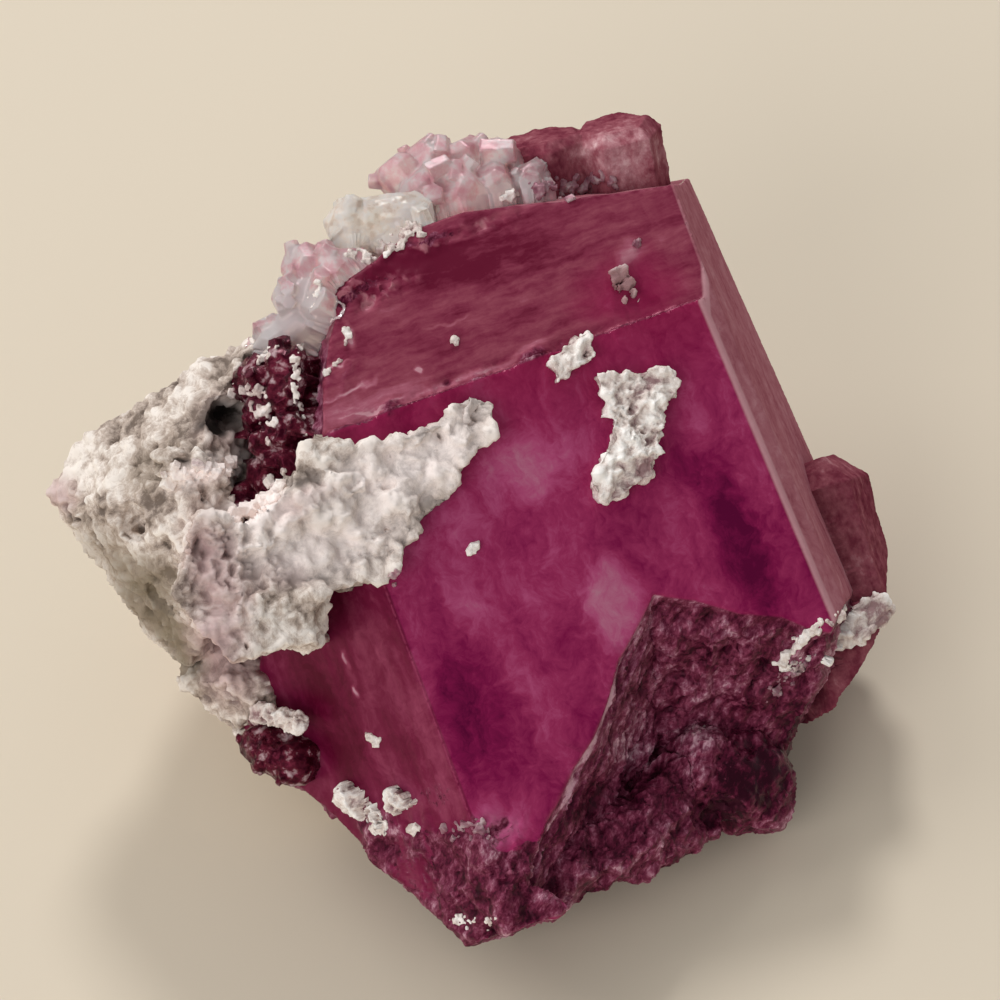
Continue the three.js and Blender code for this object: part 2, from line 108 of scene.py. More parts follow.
def add(tree, kind, inputs=(), out=0, stops=(), **settings):
    """Adds a node and gives back one of its outputs.

    Inputs are a list, in order, or a dictionary by name or number. A value that is an output is linked,
    and a tuple of outputs is linked one by one. `stops` are the places and hex colours of a ramp.
    """
    node = tree.nodes.new(kind)
    for name, value in settings.items():
        setattr(node, name, value)
    for index, (place, code) in enumerate(stops):
        elements = node.color_ramp.elements
        stop = elements[index] if index < 2 else elements.new(place)
        stop.position = place
        stop.color = linear(code)
    for socket, value in inputs.items() if isinstance(inputs, dict) else enumerate(inputs):
        for item in value if isinstance(value, tuple) else (value,):
            if isinstance(item, bpy.types.NodeSocket):
                tree.links.new(item, node.inputs[socket])
            else:
                node.inputs[socket].default_value = item
    return node.outputs[out] if node.outputs else node


print("red beryl in linear colour:", [round(c, 3) for c in linear("#7a1747")])

# %% [markdown]
# ## Patterns in millimetres
#
# Every pattern below starts from the position in upright millimetres, so a noise that should have spots
# of 0.3 mm simply gets the scale 1 / 0.3. Six more building blocks serve both relief and colour. One
# shortens a position along a direction, which draws a pattern out into streaks. One bends a position,
# so that straight outlines wander. One finds the points that lie on given planes, one makes soft
# patches at given places, one adds patterns up by weight, and one turns a noise into sharp crests.

# %% Building blocks for patterns
PLANE_CORE = 0.4
PATCH_CORE = 0.2
PATCH_END = 1.6
CREST_WIDTH = 0.18


def upright_position(tree, position):
    """Nodes that turn a position in metres into millimetres in the crystal's upright axes."""
    in_mm = add(tree, "ShaderNodeVectorMath", {0: position, "Scale": 1 / MM}, operation="SCALE")
    moved = add(tree, "ShaderNodeVectorMath", [in_mm, UPRIGHT_ORIGIN], operation="SUBTRACT")
    turn = {"Vector": moved, "Rotation": REST.to_euler("XYZ")}
    return add(tree, "ShaderNodeVectorRotate", turn, rotation_type="EULER_XYZ", invert=True)


def stretched(tree, point, direction, keep):
    """Shortens a position along a direction, so that a pattern is drawn out along it."""
    direction = Vector(direction).normalized()
    along = add(tree, "ShaderNodeVectorMath", [point, direction], out="Value", operation="DOT_PRODUCT")
    excess = add(tree, "ShaderNodeMath", [along, 1 - keep], operation="MULTIPLY")
    back = add(tree, "ShaderNodeVectorMath", {0: direction, "Scale": excess}, operation="SCALE")
    return add(tree, "ShaderNodeVectorMath", [point, back], operation="SUBTRACT")


def bent(tree, point, size, reach):
    """Moves a position about by a noise with spots of `size` mm, by up to about `reach` mm."""
    noise = add(tree, "ShaderNodeTexNoise", {"Vector": point, "Scale": 1 / size, "Detail": 2.0}, out="Color")
    push = add(tree, "ShaderNodeVectorMath", [noise, Vector((0.5, 0.5, 0.5))], operation="SUBTRACT")
    push = add(tree, "ShaderNodeVectorMath", {0: push, "Scale": 2 * reach}, operation="SCALE")
    return add(tree, "ShaderNodeVectorMath", [point, push], operation="ADD")


def on_planes(tree, point, planes, fade):
    """1 on any of some planes, each given by a normal and a point, and 0 further off than `fade`."""
    share = 0.0
    for normal, through in planes:
        facing = [point, Vector(normal)]
        along = add(tree, "ShaderNodeVectorMath", facing, out="Value", operation="DOT_PRODUCT")
        off = add(tree, "ShaderNodeMath", [along, float(np.dot(normal, through))], operation="SUBTRACT")
        away = add(tree, "ShaderNodeMath", [off], operation="ABSOLUTE")
        fall = [away, PLANE_CORE * fade, fade, 1.0, 0.0]
        near = add(tree, "ShaderNodeMapRange", fall, interpolation_type="SMOOTHSTEP")
        share = add(tree, "ShaderNodeMath", [share, near], operation="MAXIMUM")
    return share


def patches(tree, point, places):
    """A sum of soft patches, each (x, z, half width, half height, strength), that reach through in y."""
    total = 0.0
    for x, z, wide, high, strength in places:
        off = add(tree, "ShaderNodeVectorMath", [point, Vector((x, 0, z))], operation="SUBTRACT")
        off = add(tree, "ShaderNodeVectorMath", [off, Vector((1 / wide, 0, 1 / high))], operation="MULTIPLY")
        far = add(tree, "ShaderNodeVectorMath", [off], out="Value", operation="LENGTH")
        fall = [far, PATCH_CORE, PATCH_END, strength, 0.0]
        patch = add(tree, "ShaderNodeMapRange", fall, interpolation_type="SMOOTHSTEP")
        total = add(tree, "ShaderNodeMath", [total, patch], operation="ADD")
    return total


def weighed(tree, terms):
    """The sum of (pattern - middle) * weight over some terms, each with an optional mask after it."""
    total = 0.0
    for pattern, middle, weight, *mask in terms:
        term = add(tree, "ShaderNodeMath", [pattern, middle], operation="SUBTRACT")
        for factor in [weight, *mask]:
            term = add(tree, "ShaderNodeMath", [term, factor], operation="MULTIPLY")
        total = add(tree, "ShaderNodeMath", [total, term], operation="ADD")
    return total


def crested(tree, noise):
    """Turns a noise into sharp crests, 1 where it passes its middle value and 0 well away from it."""
    off = add(tree, "ShaderNodeMath", [noise, 0.5], operation="SUBTRACT")
    away = add(tree, "ShaderNodeMath", [off], operation="ABSOLUTE")
    return add(tree, "ShaderNodeMapRange", [away, 0.0, CREST_WIDTH, 1.0, 0.0])


print("pattern helpers ready")

# %% [markdown]
# ## Which face is which
#
# The faces of the crystal grew flat, and its foot broke, so they need different finishes. Each grown
# face is a plane with a known angle, distance and lean, so a point belongs to it if it lies in that
# plane. Whatever lies in no plane is a break, apart from the blunt upper end, which no break reaches.
# The broad face stops at a growth step, and above the step a band leans back from it.

# %% Planes of the grown faces
FACE_TURN = math.radians(18.5)
FACE_POINT = np.array((0, -2.6, 0))
OUT = np.array((math.sin(FACE_TURN), -math.cos(FACE_TURN), 0))
RIGHT = np.array((math.cos(FACE_TURN), math.sin(FACE_TURN), 0))
UP = np.array((0, 0, 1))
STEP_HEIGHT = 2.85
STEP_DEPTH = 0.12
STEP_FADE = 0.03
BAND_LEAN = math.radians(15)
BAND_NORMAL = math.cos(BAND_LEAN) * OUT + math.sin(BAND_LEAN) * UP
BROAD_PLANE = (OUT, FACE_POINT)
BAND_PLANE = (BAND_NORMAL, FACE_POINT - STEP_DEPTH * OUT + STEP_HEIGHT * UP)
LEFT_FACES = [(240, 8.5, 0), (300, 2.95, 0)]
RIGHT_FACES = [(30, 3.33, 1.25), (60, 6.04, 2.2), (120, 9.97, 9.2), (180, 7.2, 0)]
END_HEIGHTS = (4.5, 5.5)


def prism_face(angle, distance, lean):
    """The plane of an upright face, from its angle round the axis, its distance and its lean."""
    turn, tip = math.radians(angle), math.radians(lean)
    normal = math.cos(tip) * (math.sin(turn) * RIGHT + math.cos(turn) * OUT) + math.sin(tip) * UP
    return normal, FACE_POINT + normal * distance


LEFT_PLANES = [prism_face(*face) for face in LEFT_FACES]
RIGHT_PLANES = [prism_face(*face) for face in RIGHT_FACES]


def face_masks(tree, point, fade):
    """Masks for the band, the left faces, the right faces and the breaks. The rest is the broad face."""
    height = add(tree, "ShaderNodeSeparateXYZ", [point], out="Z")
    above = add(tree, "ShaderNodeMapRange", [height, STEP_HEIGHT - STEP_FADE, STEP_HEIGHT + STEP_FADE])
    below = add(tree, "ShaderNodeMath", [1.0, above], operation="SUBTRACT")
    broad = on_planes(tree, point, [BROAD_PLANE], fade)
    broad = add(tree, "ShaderNodeMath", [broad, below], operation="MULTIPLY")
    band = on_planes(tree, point, [BAND_PLANE], fade)
    band = add(tree, "ShaderNodeMath", [band, above], operation="MULTIPLY")
    left = on_planes(tree, point, LEFT_PLANES, fade)
    right = on_planes(tree, point, RIGHT_PLANES, fade)
    grown = 0.0
    for mask in (broad, band, left, right):
        grown = add(tree, "ShaderNodeMath", [grown, mask], operation="MAXIMUM")
    broken = add(tree, "ShaderNodeMath", [1.0, grown], operation="SUBTRACT")
    end = add(tree, "ShaderNodeMapRange", [height, *END_HEIGHTS])
    end = add(tree, "ShaderNodeMath", [end, broken], operation="MULTIPLY")
    right = add(tree, "ShaderNodeMath", [right, end], operation="MAXIMUM")
    broken = add(tree, "ShaderNodeMath", [broken, end], operation="SUBTRACT")
    return band, left, right, broken


print(len(LEFT_PLANES) + len(RIGHT_PLANES) + 2, "grown faces have known planes")

# %% [markdown]
# ## Material: cloudy red beryl
#
# Red beryl is a glassy silicate that manganese turns raspberry red. A crystal like this is full of
# healed cracks and tiny fluid bubbles, so light enters only a little way and comes back pink where the
# clouds are dense, and deep magenta where they are thin. It could be made of real glass with clouds
# inside, but that renders slowly and a cloudy crystal hides its inside anyway. So the surface colour
# does the work. Each kind of face adds up its own zones, streaks, mottle and patches, and reads the sum
# off its own ramp of colours. Masks then lay one kind over another. The band and the left faces are
# etched and duller. The right faces have no gloss, and their pale colour is a painted reflection of the
# bright floor that they catch at a grazing angle. A thin pale line along the edge between the broad
# face or the band and the first right face is a painted highlight. The broken foot is dark with a pale
# grain, and its stored height darkens its hollows and lightens its crests, as painted shade and light.
# Towards the step the broad face turns redder. Much of what looks like gloss on a coloured crystal has
# passed through a little of it, so the gloss is tinted too.

# %% Red beryl


def material(name):
    made = bpy.data.materials.new(name)
    made.use_nodes = True
    made.node_tree.nodes.clear()
    return made, made.node_tree


def mineral(name):
    """A new material, its tree, and nodes that give the position in upright millimetres."""
    made, tree = material(name)
    return made, tree, upright_position(tree, add(tree, "ShaderNodeTexCoord", out="Object"))


BERYL_IOR = 1.57
GLOSS_TINT = "#d06c88"
COLOUR_FADE = 0.08
# Width and share of a painted highlight along the edge of the first right face.
EDGE_HIGHLIGHT_WIDTH = 0.07
EDGE_HIGHLIGHT_SHARE = 0.6
CHIP_EDGE = (0.3, 0.5)
HIGH_FADE = (0.5, 3.0)
HIGH_SHARE = 0.45
BROAD_STOPS = [
    (0.0, "#540030"), (0.2, "#7a1044"), (0.4, "#962c58"), (0.6, "#ac4a74"), (0.8, "#b46a86"),
    (1.0, "#ac8490"),
]
BAND_STOPS = [(0.15, "#5e0c28"), (0.35, "#7a2c42"), (0.55, "#8c4252"), (0.8, "#a45c6e"), (1.0, "#c08c96")]
LEFT_STOPS = [(0.1, "#4c001e"), (0.4, "#6c1638"), (0.7, "#8e3c58"), (1.0, "#c090a0")]
# The pale right-face stops are a painted reflection of the bright floor these faces catch at a grazing
# angle.
RIGHT_STOPS = [(0.15, "#84404e"), (0.5, "#a46670"), (0.85, "#ba868e")]
BREAK_STOPS = [(0.1, "#1e0410"), (0.35, "#4c1228"), (0.55, "#6c2c42"), (0.75, "#8e5468"), (1.0, "#c49aa6")]
CLOUDS = [
    (0.9, 0.5, 1.3, 0.8, 0.30),
    (-1.5, -0.2, 1.5, 0.8, 0.18),
    (-1.7, -1.7, 0.35, 0.9, 0.22),
    (1.6, -3.2, 0.7, 0.9, 0.50),
    (-0.9, -4.6, 0.4, 1.7, 0.16),
    (0.3, -1.9, 1.3, 1.1, 0.08),
    (-2.3, -4.8, 0.8, 1.5, -0.20),
    (5.1, -2.8, 0.9, 2.3, -0.22),
    (4.2, -0.9, 1.1, 0.6, -0.12),
    (5.1, 0.6, 0.25, 1.1, 0.16),
    (2.2, 2.0, 0.8, 0.6, 0.04),
    (-2.8, -7.2, 1.0, 0.5, 0.30),
]
# The thin patch along the step at (0.6, 3.0) is a painted highlight on the step's edge; the rest are pale
# and darker marks in the band.
PALE_BAND = [
    (-2.1, 3.2, 1.3, 0.6, 0.3), (0.6, 3.0, 1.7, 0.12, 0.4), (-0.6, 4.9, 1.4, 0.5, 0.08),
    (-0.7, 6.0, 1.6, 0.35, -0.5), (1.6, 5.6, 1.8, 0.6, -0.25), (-2.4, 3.7, 0.7, 0.06, 0.5),
    (-1.9, 3.1, 0.6, 0.05, 0.5), (-2.0, 4.9, 0.12, 0.3, 0.7), (-2.6, 4.3, 0.35, 0.06, 0.6),
    (-0.8, 3.45, 0.12, 0.1, 0.9), (0.3, 4.4, 0.6, 0.05, 0.25), (5.0, 4.4, 0.3, 0.4, 0.5),
]
CLEAR_BAND = [(4.7, 3.6, 1.2, 0.9, 0.9)]
PALE_LEFT = [
    (-4.7, -2.2, 0.08, 0.15, 0.4), (-4.8, -3.1, 0.1, 0.15, 0.5), (-4.85, -4.0, 0.12, 0.15, 0.5),
    (-5.6, -3.4, 0.6, 1.8, -0.25), (-3.6, -5.2, 0.5, 1.4, 0.12), (-4.2, -6.2, 0.6, 0.6, 0.15),
]
TIP = [
    (-4.0, -8.3, 1.1, 0.8, 0.9), (-3.6, -7.2, 1.2, 0.5, 0.6), (-2.2, -8.3, 1.0, 0.6, 0.8),
    (-1.9, -9.1, 1.2, 0.5, 0.9), (-5.5, -6.7, 0.5, 0.9, 0.7), (-3.8, -9.3, 0.8, 0.35, 0.9),
]
CHIPPED = [*TIP, (-1.7, 5.75, 1.0, 0.22, 0.5), (0.6, 6.35, 1.2, 0.14, 0.5), (-3.9, -5.9, 0.5, 0.3, 0.4)]
LOBE = [(3.5, -8.2, 0.9, 0.6, 1.0), (3.5, -7.0, 0.35, 0.5, 0.8)]
DARK_FOOT = [
    (0.2, -7.6, 1.4, 0.45, 0.25), (3.6, -8.6, 1.6, 0.8, 0.45), (3.9, -7.3, 0.9, 0.6, 0.25),
    (3.4, -4.7, 1.0, 0.5, 0.15), (4.4, -6.0, 0.6, 0.5, 0.15), (2.6, -6.9, 0.5, 0.35, -0.2),
    (-0.7, -8.5, 1.0, 0.5, 0.1), (4.4, -4.7, 0.9, 0.3, -0.1), (0.8, -6.4, 0.8, 0.8, -0.25),
    (-3.0, -7.6, 1.2, 0.4, -0.15), (1.6, -7.9, 0.8, 0.5, 0.15), (-3.6, -8.5, 1.4, 0.8, 0.3),
    (2.6, -8.8, 0.8, 0.5, 0.3),
]
RIDGE_TOP = np.array((2.9, -1.6, -3.2))
RIDGE_FOOT = np.array((-2.6, -3.3, -8.7))
RIDGE_WAY = Vector(RIDGE_FOOT - RIDGE_TOP).normalized()
RIDGE_EDGE = 0.22


def beside_ridge(tree, point, reach):
    """1 on the ridge that bounds the broken foot, fading to 0 at `reach` mm from its line."""
    off = add(tree, "ShaderNodeVectorMath", [point, Vector(RIDGE_TOP)], operation="SUBTRACT")
    off = add(tree, "ShaderNodeVectorMath", [off, RIDGE_WAY], operation="CROSS_PRODUCT")
    far = add(tree, "ShaderNodeVectorMath", [off], out="Value", operation="LENGTH")
    return add(tree, "ShaderNodeMapRange", [far, 0.0, reach, 1.0, 0.0])


def beryl_noises(tree, point, wander):
    """The noises that the faces are coloured with, each with its spot size in mm."""
    level = stretched(tree, bent(tree, point, 0.8, 0.15), RIGHT, 0.18)
    split = stretched(tree, bent(tree, point, 0.5, 0.12), RIDGE_WAY, 0.5)
    rows = [
        ("zones", stretched(tree, wander, UP, 0.35), 0.9, 4.0, 0.6),
        ("mottle", wander, 0.3, 4.0, 0.7),
        ("growth steps", level, 0.28, 5.0, 0.65),
        ("growth lines", stretched(tree, point, UP, 0.08), 0.3, 4.0, 0.6),
        ("grain", split, 0.22, 5.0, 0.75),
    ]
    noises = {}
    for name, place, size, detail, roughness in rows:
        inputs = {"Vector": place, "Scale": 1 / size, "Detail": detail, "Roughness": roughness}
        noises[name] = add(tree, "ShaderNodeTexNoise", inputs)
    return noises


def face_colours(tree, point, wander, noises):
    """The colours of the broad face, the band, the left faces, the right faces and the breaks."""
    zones, mottle, striae, lines, grain = noises.values()
    places = (CLOUDS, PALE_BAND, PALE_LEFT, DARK_FOOT)
    clouds, pale_band, pale_left, dark_foot = [patches(tree, wander, place) for place in places]
    relief = add(tree, "ShaderNodeAttribute", out="Fac", attribute_name="relief")
    edge = beside_ridge(tree, point, RIDGE_EDGE)
    broad = [(zones, 0.5, 0.75), (mottle, 0.5, 0.55), (clouds, -0.33, 1.0)]
    band = [(striae, 0.5, 1.1), (mottle, 0.5, 0.35), (pale_band, -0.4, 1.0)]
    left = [(lines, 0.5, 0.35), (zones, 0.5, 0.9), (mottle, 0.5, 0.5), (pale_left, -0.4, 1.0)]
    right = [(lines, 0.5, 0.45), (zones, 0.5, 0.6), (mottle, 0.5, 0.8), (0.5, 0.0, 1.0)]
    # The stored height darkens the hollows of the breaks and lightens their crests: painted shade and light.
    breaks = [(relief, 0.0, 0.15), (grain, 0.5, 2.2), (zones, 0.5, 0.9), (edge, 0.0, 0.6)]
    breaks += [(dark_foot, 0.0, -0.8), (0.46, 0.0, 1.0)]
    ramps = (BROAD_STOPS, BAND_STOPS, LEFT_STOPS, RIGHT_STOPS, BREAK_STOPS)
    colours = []
    for terms, stops in zip((broad, band, left, right, breaks), ramps):
        colours.append(add(tree, "ShaderNodeValToRGB", [weighed(tree, terms)], stops=stops))
    return colours


def rubbed_edge(tree, point):
    """A mask for a painted highlight along the edge between the broad face or the band and the first right
    face.
    """
    front = on_planes(tree, point, [BROAD_PLANE, BAND_PLANE], EDGE_HIGHLIGHT_WIDTH)
    beside = on_planes(tree, point, RIGHT_PLANES[:1], EDGE_HIGHLIGHT_WIDTH)
    both = add(tree, "ShaderNodeMath", [front, beside], operation="MULTIPLY")
    return add(tree, "ShaderNodeMath", [both, EDGE_HIGHLIGHT_SHARE], operation="MULTIPLY")


def red_beryl():
    made, tree, point = mineral("cloudy_red_beryl")
    band, left, right, broken = face_masks(tree, point, COLOUR_FADE)
    wander = bent(tree, bent(tree, point, 1.1, 0.5), 0.3, 0.12)
    noises = beryl_noises(tree, point, wander)
    deep, dull, side, pale, burnt = face_colours(tree, point, wander, noises)

    clear = add(tree, "ShaderNodeMath", [1.0, patches(tree, wander, CLEAR_BAND)], operation="SUBTRACT")
    band = add(tree, "ShaderNodeMath", [band, clear], operation="MULTIPLY", use_clamp=True)
    chipped = weighed(tree, [(patches(tree, wander, CHIPPED), 0.0, 1.0), (noises["mottle"], 0.5, 1.6)])
    chipped = add(tree, "ShaderNodeMapRange", [chipped, *CHIP_EDGE], interpolation_type="SMOOTHSTEP")
    broken = add(tree, "ShaderNodeMath", [broken, chipped], operation="MAXIMUM")
    height = add(tree, "ShaderNodeSeparateXYZ", [point], out="Z")
    high = add(tree, "ShaderNodeMapRange", [height, *HIGH_FADE, 0.0, HIGH_SHARE])
    edge_highlight = rubbed_edge(tree, point)

    colour = deep
    # On the right faces, pale is a painted reflection.
    layers = [(high, linear("#841834")), (left, side), (band, dull), (right, pale), (broken, burnt)]
    # The colour #c89aa0 along that edge is a painted highlight.
    for mask, finish in [*layers, (edge_highlight, linear("#c89aa0"))]:
        colour = add(tree, "ShaderNodeMix", {0: mask, 6: colour, 7: finish}, out=2, data_type="RGBA")
    wet = add(tree, "ShaderNodeMath", [patches(tree, point, LOBE), broken], operation="MULTIPLY")
    dullness = [(0.2, 0.0, 1.0), (band, 0.0, 0.3), (left, 0.0, 0.15), (broken, 0.0, 0.25), (wet, 0.0, -0.3)]
    surface = {"Base Color": colour, "IOR": BERYL_IOR, "Specular Tint": linear(GLOSS_TINT)}
    surface["Roughness"] = weighed(tree, dullness)
    # The right faces get no gloss; their pale colour paints the reflection instead.
    surface["Specular IOR Level"] = weighed(tree, [(0.5, 0.0, 1.0), (right, 0.0, -0.5)])
    add(tree, "ShaderNodeOutputMaterial", [add(tree, "ShaderNodeBsdfPrincipled", surface)])
    return made


RED_BERYL = red_beryl()
print("made", RED_BERYL.name, "of", len(RED_BERYL.node_tree.nodes), "nodes")

# %% [markdown]
# ## Material: small clear beryl, pale druse and quartz
#
# The small crystals beside the large one are the same mineral, but a thin crystal swallows less light,
# so the smaller it is the paler it looks. The two on the flanks still look solid, and a film of dust
# takes their gloss; pale patches on them are painted highlights. The crust of tiny ones, the druse,
# lets light through, and so does the grain of milky quartz. Those are made the plain way, with
# transmission, the mineral's own refractive index and an absorption inside. A fairly high roughness
# stands for the frost of tiny faces. The base colour changes from pink to milky in clouds, and in a
# few patches where the druse is frosted over; one of them, on the rim, is a painted highlight on a
# glint. The chips of beryl among the crumbs get the same kind of material.

# %% Small crystals and quartz
QUARTZ_IOR = 1.544
# Pale patches on the flank crystals: painted highlights.
FLANK_HIGHLIGHTS = [(5.8, 6.8, 1.0, 0.8, 0.4), (5.0, 7.3, 0.6, 0.15, 0.3), (7.7, -4.0, 1.0, 2.6, 0.08)]


def small_beryl():
    made, tree, point = mineral("raspberry_beryl")
    wander = bent(tree, point, 0.6, 0.2)
    tall = stretched(tree, wander, UP, 0.4)
    clouds = {"Vector": tall, "Scale": 1 / 0.5, "Detail": 5.0, "Roughness": 0.65}
    clouds = add(tree, "ShaderNodeTexNoise", clouds)
    specks = {"Vector": point, "Scale": 1 / 0.2, "Detail": 4.0, "Roughness": 0.7}
    specks = add(tree, "ShaderNodeTexNoise", specks)
    depth = [(clouds, 0.5, 1.1), (specks, 0.5, 0.7), (patches(tree, wander, FLANK_HIGHLIGHTS), -0.36, 1.0)]
    stops = [(0.0, "#52182a"), (0.3, "#783644"), (0.55, "#94545e"), (0.8, "#b8848a"), (1.0, "#d6b0b2")]
    colour = add(tree, "ShaderNodeValToRGB", [weighed(tree, depth)], stops=stops)
    surface = {"Base Color": colour, "Roughness": 0.3, "IOR": BERYL_IOR}
    surface |= {"Specular Tint": linear(GLOSS_TINT), "Specular IOR Level": 0.0}
    add(tree, "ShaderNodeOutputMaterial", [add(tree, "ShaderNodeBsdfPrincipled", surface)])
    return made


def clear_mineral(name, size, stops, tint, density, roughness, ior, share, frost_and_glint=()):
    """See-through material with clouds of `size` mm. `share` is how much of the light goes through."""
    made, tree, point = mineral(name)
    clouds = {"Vector": point, "Scale": 1 / size, "Detail": 4.0, "Roughness": 0.6}
    clouds = add(tree, "ShaderNodeTexNoise", clouds)
    milk = weighed(tree, [(clouds, 0.0, 1.0), (patches(tree, point, frost_and_glint), 0.0, 1.0)])
    colour = add(tree, "ShaderNodeValToRGB", [milk], stops=stops)
    surface = {"Base Color": colour, "Roughness": roughness, "IOR": ior, "Transmission Weight": share}
    surface["Specular Tint"] = linear(tint)
    surface = add(tree, "ShaderNodeBsdfPrincipled", surface)
    inside = add(tree, "ShaderNodeVolumeAbsorption", {"Color": linear(tint), "Density": density})
    add(tree, "ShaderNodeOutputMaterial", [surface, inside])
    return made


SMALL_BERYL = small_beryl()
FROST = [(0.35, "#ecb0ba"), (0.5, "#fadadc"), (0.6, "#fffaf8")]
# Frosted druse at the corner; the patch at (2.7, 6.8) is a painted highlight on a glint of the rim druse.
FROST_AND_GLINT = [(-2.9, 5.8, 0.6, 0.8, 0.25), (-3.6, 5.0, 0.9, 0.7, 0.3), (2.7, 6.8, 0.6, 0.3, 0.2)]
PALE_BERYL = clear_mineral("pale_druse_beryl", 0.45, FROST, "#f0c4cc", 300, 0.32, BERYL_IOR, 0.6, FROST_AND_GLINT)
DUSK = [(0.4, "#3a0618"), (0.55, "#78283c"), (0.68, "#f0d0d4")]
DARK_BERYL = clear_mineral("dark_druse_beryl", 0.3, DUSK, "#a84460", 1500, 0.25, BERYL_IOR, 0.5)
MILK = [(0.38, "#ecdccc"), (0.46, "#fff6ea"), (0.6, "#fffdf8")]
QUARTZ = clear_mineral("milky_quartz", 0.3, MILK, "#fbf6f0", 10, 0.35, QUARTZ_IOR, 0.5)
CHIPS = [(0.35, "#9c5c70"), (0.5, "#c898a4"), (0.65, "#f0dcdc")]
PINK_CHIPS = clear_mineral("pink_beryl_chips", 0.25, CHIPS, "#d090a0", 400, 0.35, BERYL_IOR, 0.5)
print("made", [m.name for m in (SMALL_BERYL, PALE_BERYL, DARK_BERYL, QUARTZ, PINK_CHIPS)])

# %% [markdown]
# ## Material: rhyolite
#
# Rhyolite is a pale volcanic rock of feldspar and quartz, too fine-grained for its crystals to show.
# The colour follows the height that the relief tree stored on the mesh, darker in the hollows and paler
# on the crests as painted shade and light, with fine spots and slow zones over it. Patches of olive
# brown, mauve and white are where clay, finely scattered beryl and bleaching colour the rock, but two of
# the white patches lie on knobs of the block that catch the lamp and are painted light. One scrap is
# stained pink, and the deepest hole is painted dark, as painted shade. The rock is quite matt, and a
# fine bump stands for the sugary grain that is too small to model.

# %% Rhyolite
OLIVE = [
    (-8.7, 0.9, 0.9, 0.9, 0.8), (-8.4, -0.7, 0.5, 0.9, 0.8), (-3.9, 1.2, 0.8, 0.5, 0.35),
    (-9.4, 2.2, 0.7, 0.7, 0.4), (-7.6, 3.6, 0.8, 0.5, 0.3),
]
MAUVE = [
    (-6.7, 0.6, 0.7, 1.6, 0.7), (-7.5, -1.2, 0.7, 1.2, 0.7), (-9.9, 3.9, 0.4, 0.5, 0.6),
    (-5.2, 3.8, 0.8, 0.8, 0.4), (-4.4, 1.5, 0.9, 0.3, 0.5), (-5.3, 0.2, 0.7, 0.4, 0.4),
]
STAINED = [(4.45, 3.8, 0.6, 0.8, 1.2)]
# Bleached rock; the patches at (-5.4, 1.9) and (-6.3, 3.0) are painted light on knobs of the block that
# catch the lamp.
BLEACHED_AND_LIT = [
    (-1.7, 1.5, 2.2, 0.9, 0.9), (-3.6, 0.2, 1.5, 0.7, 0.7), (-5.4, 1.9, 0.8, 0.5, 1.0),
    (-6.3, 3.0, 0.8, 0.3, 0.9), (0.2, 2.3, 0.8, 0.4, 0.4), (-5.2, 0.9, 1.1, 0.7, 0.6),
]
# Painted shade: a near-black patch in the deepest hole, towards its front.
HOLE_SHADE = [(-5.5, 4.1, 0.5, 0.35, 1.2)]
HOLE_FADE = (1.5, 3.0)
SUGAR_GRAIN = 0.1
BUMP_DEPTH = 0.02


def rhyolite(name, hollow, middle, crest):
    made, tree, point = mineral(name)
    wander = bent(tree, point, 0.8, 0.4)
    behind = add(tree, "ShaderNodeSeparateXYZ", [point], out="Y")
    front = add(tree, "ShaderNodeMapRange", [behind, *HOLE_FADE, 1.0, 0.0])
    relief = add(tree, "ShaderNodeAttribute", out="Fac", attribute_name="relief")
    spots = {"Vector": wander, "Scale": 1 / 0.5, "Detail": 6.0, "Roughness": 0.8}
    spots = add(tree, "ShaderNodeTexNoise", spots)
    zones = add(tree, "ShaderNodeTexNoise", {"Vector": point, "Scale": 1 / 1.1, "Detail": 3.0})
    # The stored height makes the hollows darker and the crests paler: painted shade and light.
    level = weighed(tree, [(relief, 0.0, 0.4), (spots, 0.5, 1.8), (zones, 0.5, 1.1), (0.5, 0.0, 1.0)])
    colour = add(tree, "ShaderNodeValToRGB", [level], stops=[(0.15, hollow), (0.45, middle), (0.75, crest)])
    # Real stains, painted light on the lit knobs and painted shade in the deepest hole.
    stains_and_painted_light = [(OLIVE, "#7e705a", 1.0), (MAUVE, "#c8a8a6", 1.0), (BLEACHED_AND_LIT, "#fff2ec", 1.0)]
    stains_and_painted_light += [(STAINED, "#a47a7c", 1.0), (HOLE_SHADE, "#2c231e", front)]
    for places, tint, where in stains_and_painted_light:
        here = patches(tree, wander, places)
        here = weighed(tree, [(here, 0.0, 1.0), (spots, 0.5, 2.0, here)])
        share = add(tree, "ShaderNodeMath", [here, where], operation="MULTIPLY", use_clamp=True)
        colour = add(tree, "ShaderNodeMix", {0: share, 6: colour, 7: linear(tint)}, out=2, data_type="RGBA")
    grain = add(tree, "ShaderNodeTexNoise", {"Vector": point, "Scale": 1 / SUGAR_GRAIN, "Detail": 3.0})
    bump = add(tree, "ShaderNodeBump", {"Height": grain, "Distance": BUMP_DEPTH * MM, "Strength": 0.6})
    surface = {"Base Color": colour, "Roughness": 0.85, "Normal": bump}
    add(tree, "ShaderNodeOutputMaterial", [add(tree, "ShaderNodeBsdfPrincipled", surface)])
    return made


RHYOLITE = rhyolite("weathered_rhyolite", "#74655a", "#bcab9e", "#f0e6dc")
WHITE_RHYOLITE = rhyolite("bleached_rhyolite", "#9c7c7c", "#e2d4cb", "#fffaf4")
print("made", RHYOLITE.name, "and", WHITE_RHYOLITE.name)

# %% [markdown]
# ## A fine skin for each solid
#
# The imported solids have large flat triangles. Relief needs small even faces, so each solid is copied,
# its loose triangles are merged, and Voxel Remesh lays a closed skin of small squares over it. The
# remesh rounds every corner by about half a square. Shrinkwrap then pulls the skin back onto the true
# faces, which keeps the crystal faces flat and their edges crisp. Rock goes without that.

# %% Fine skins


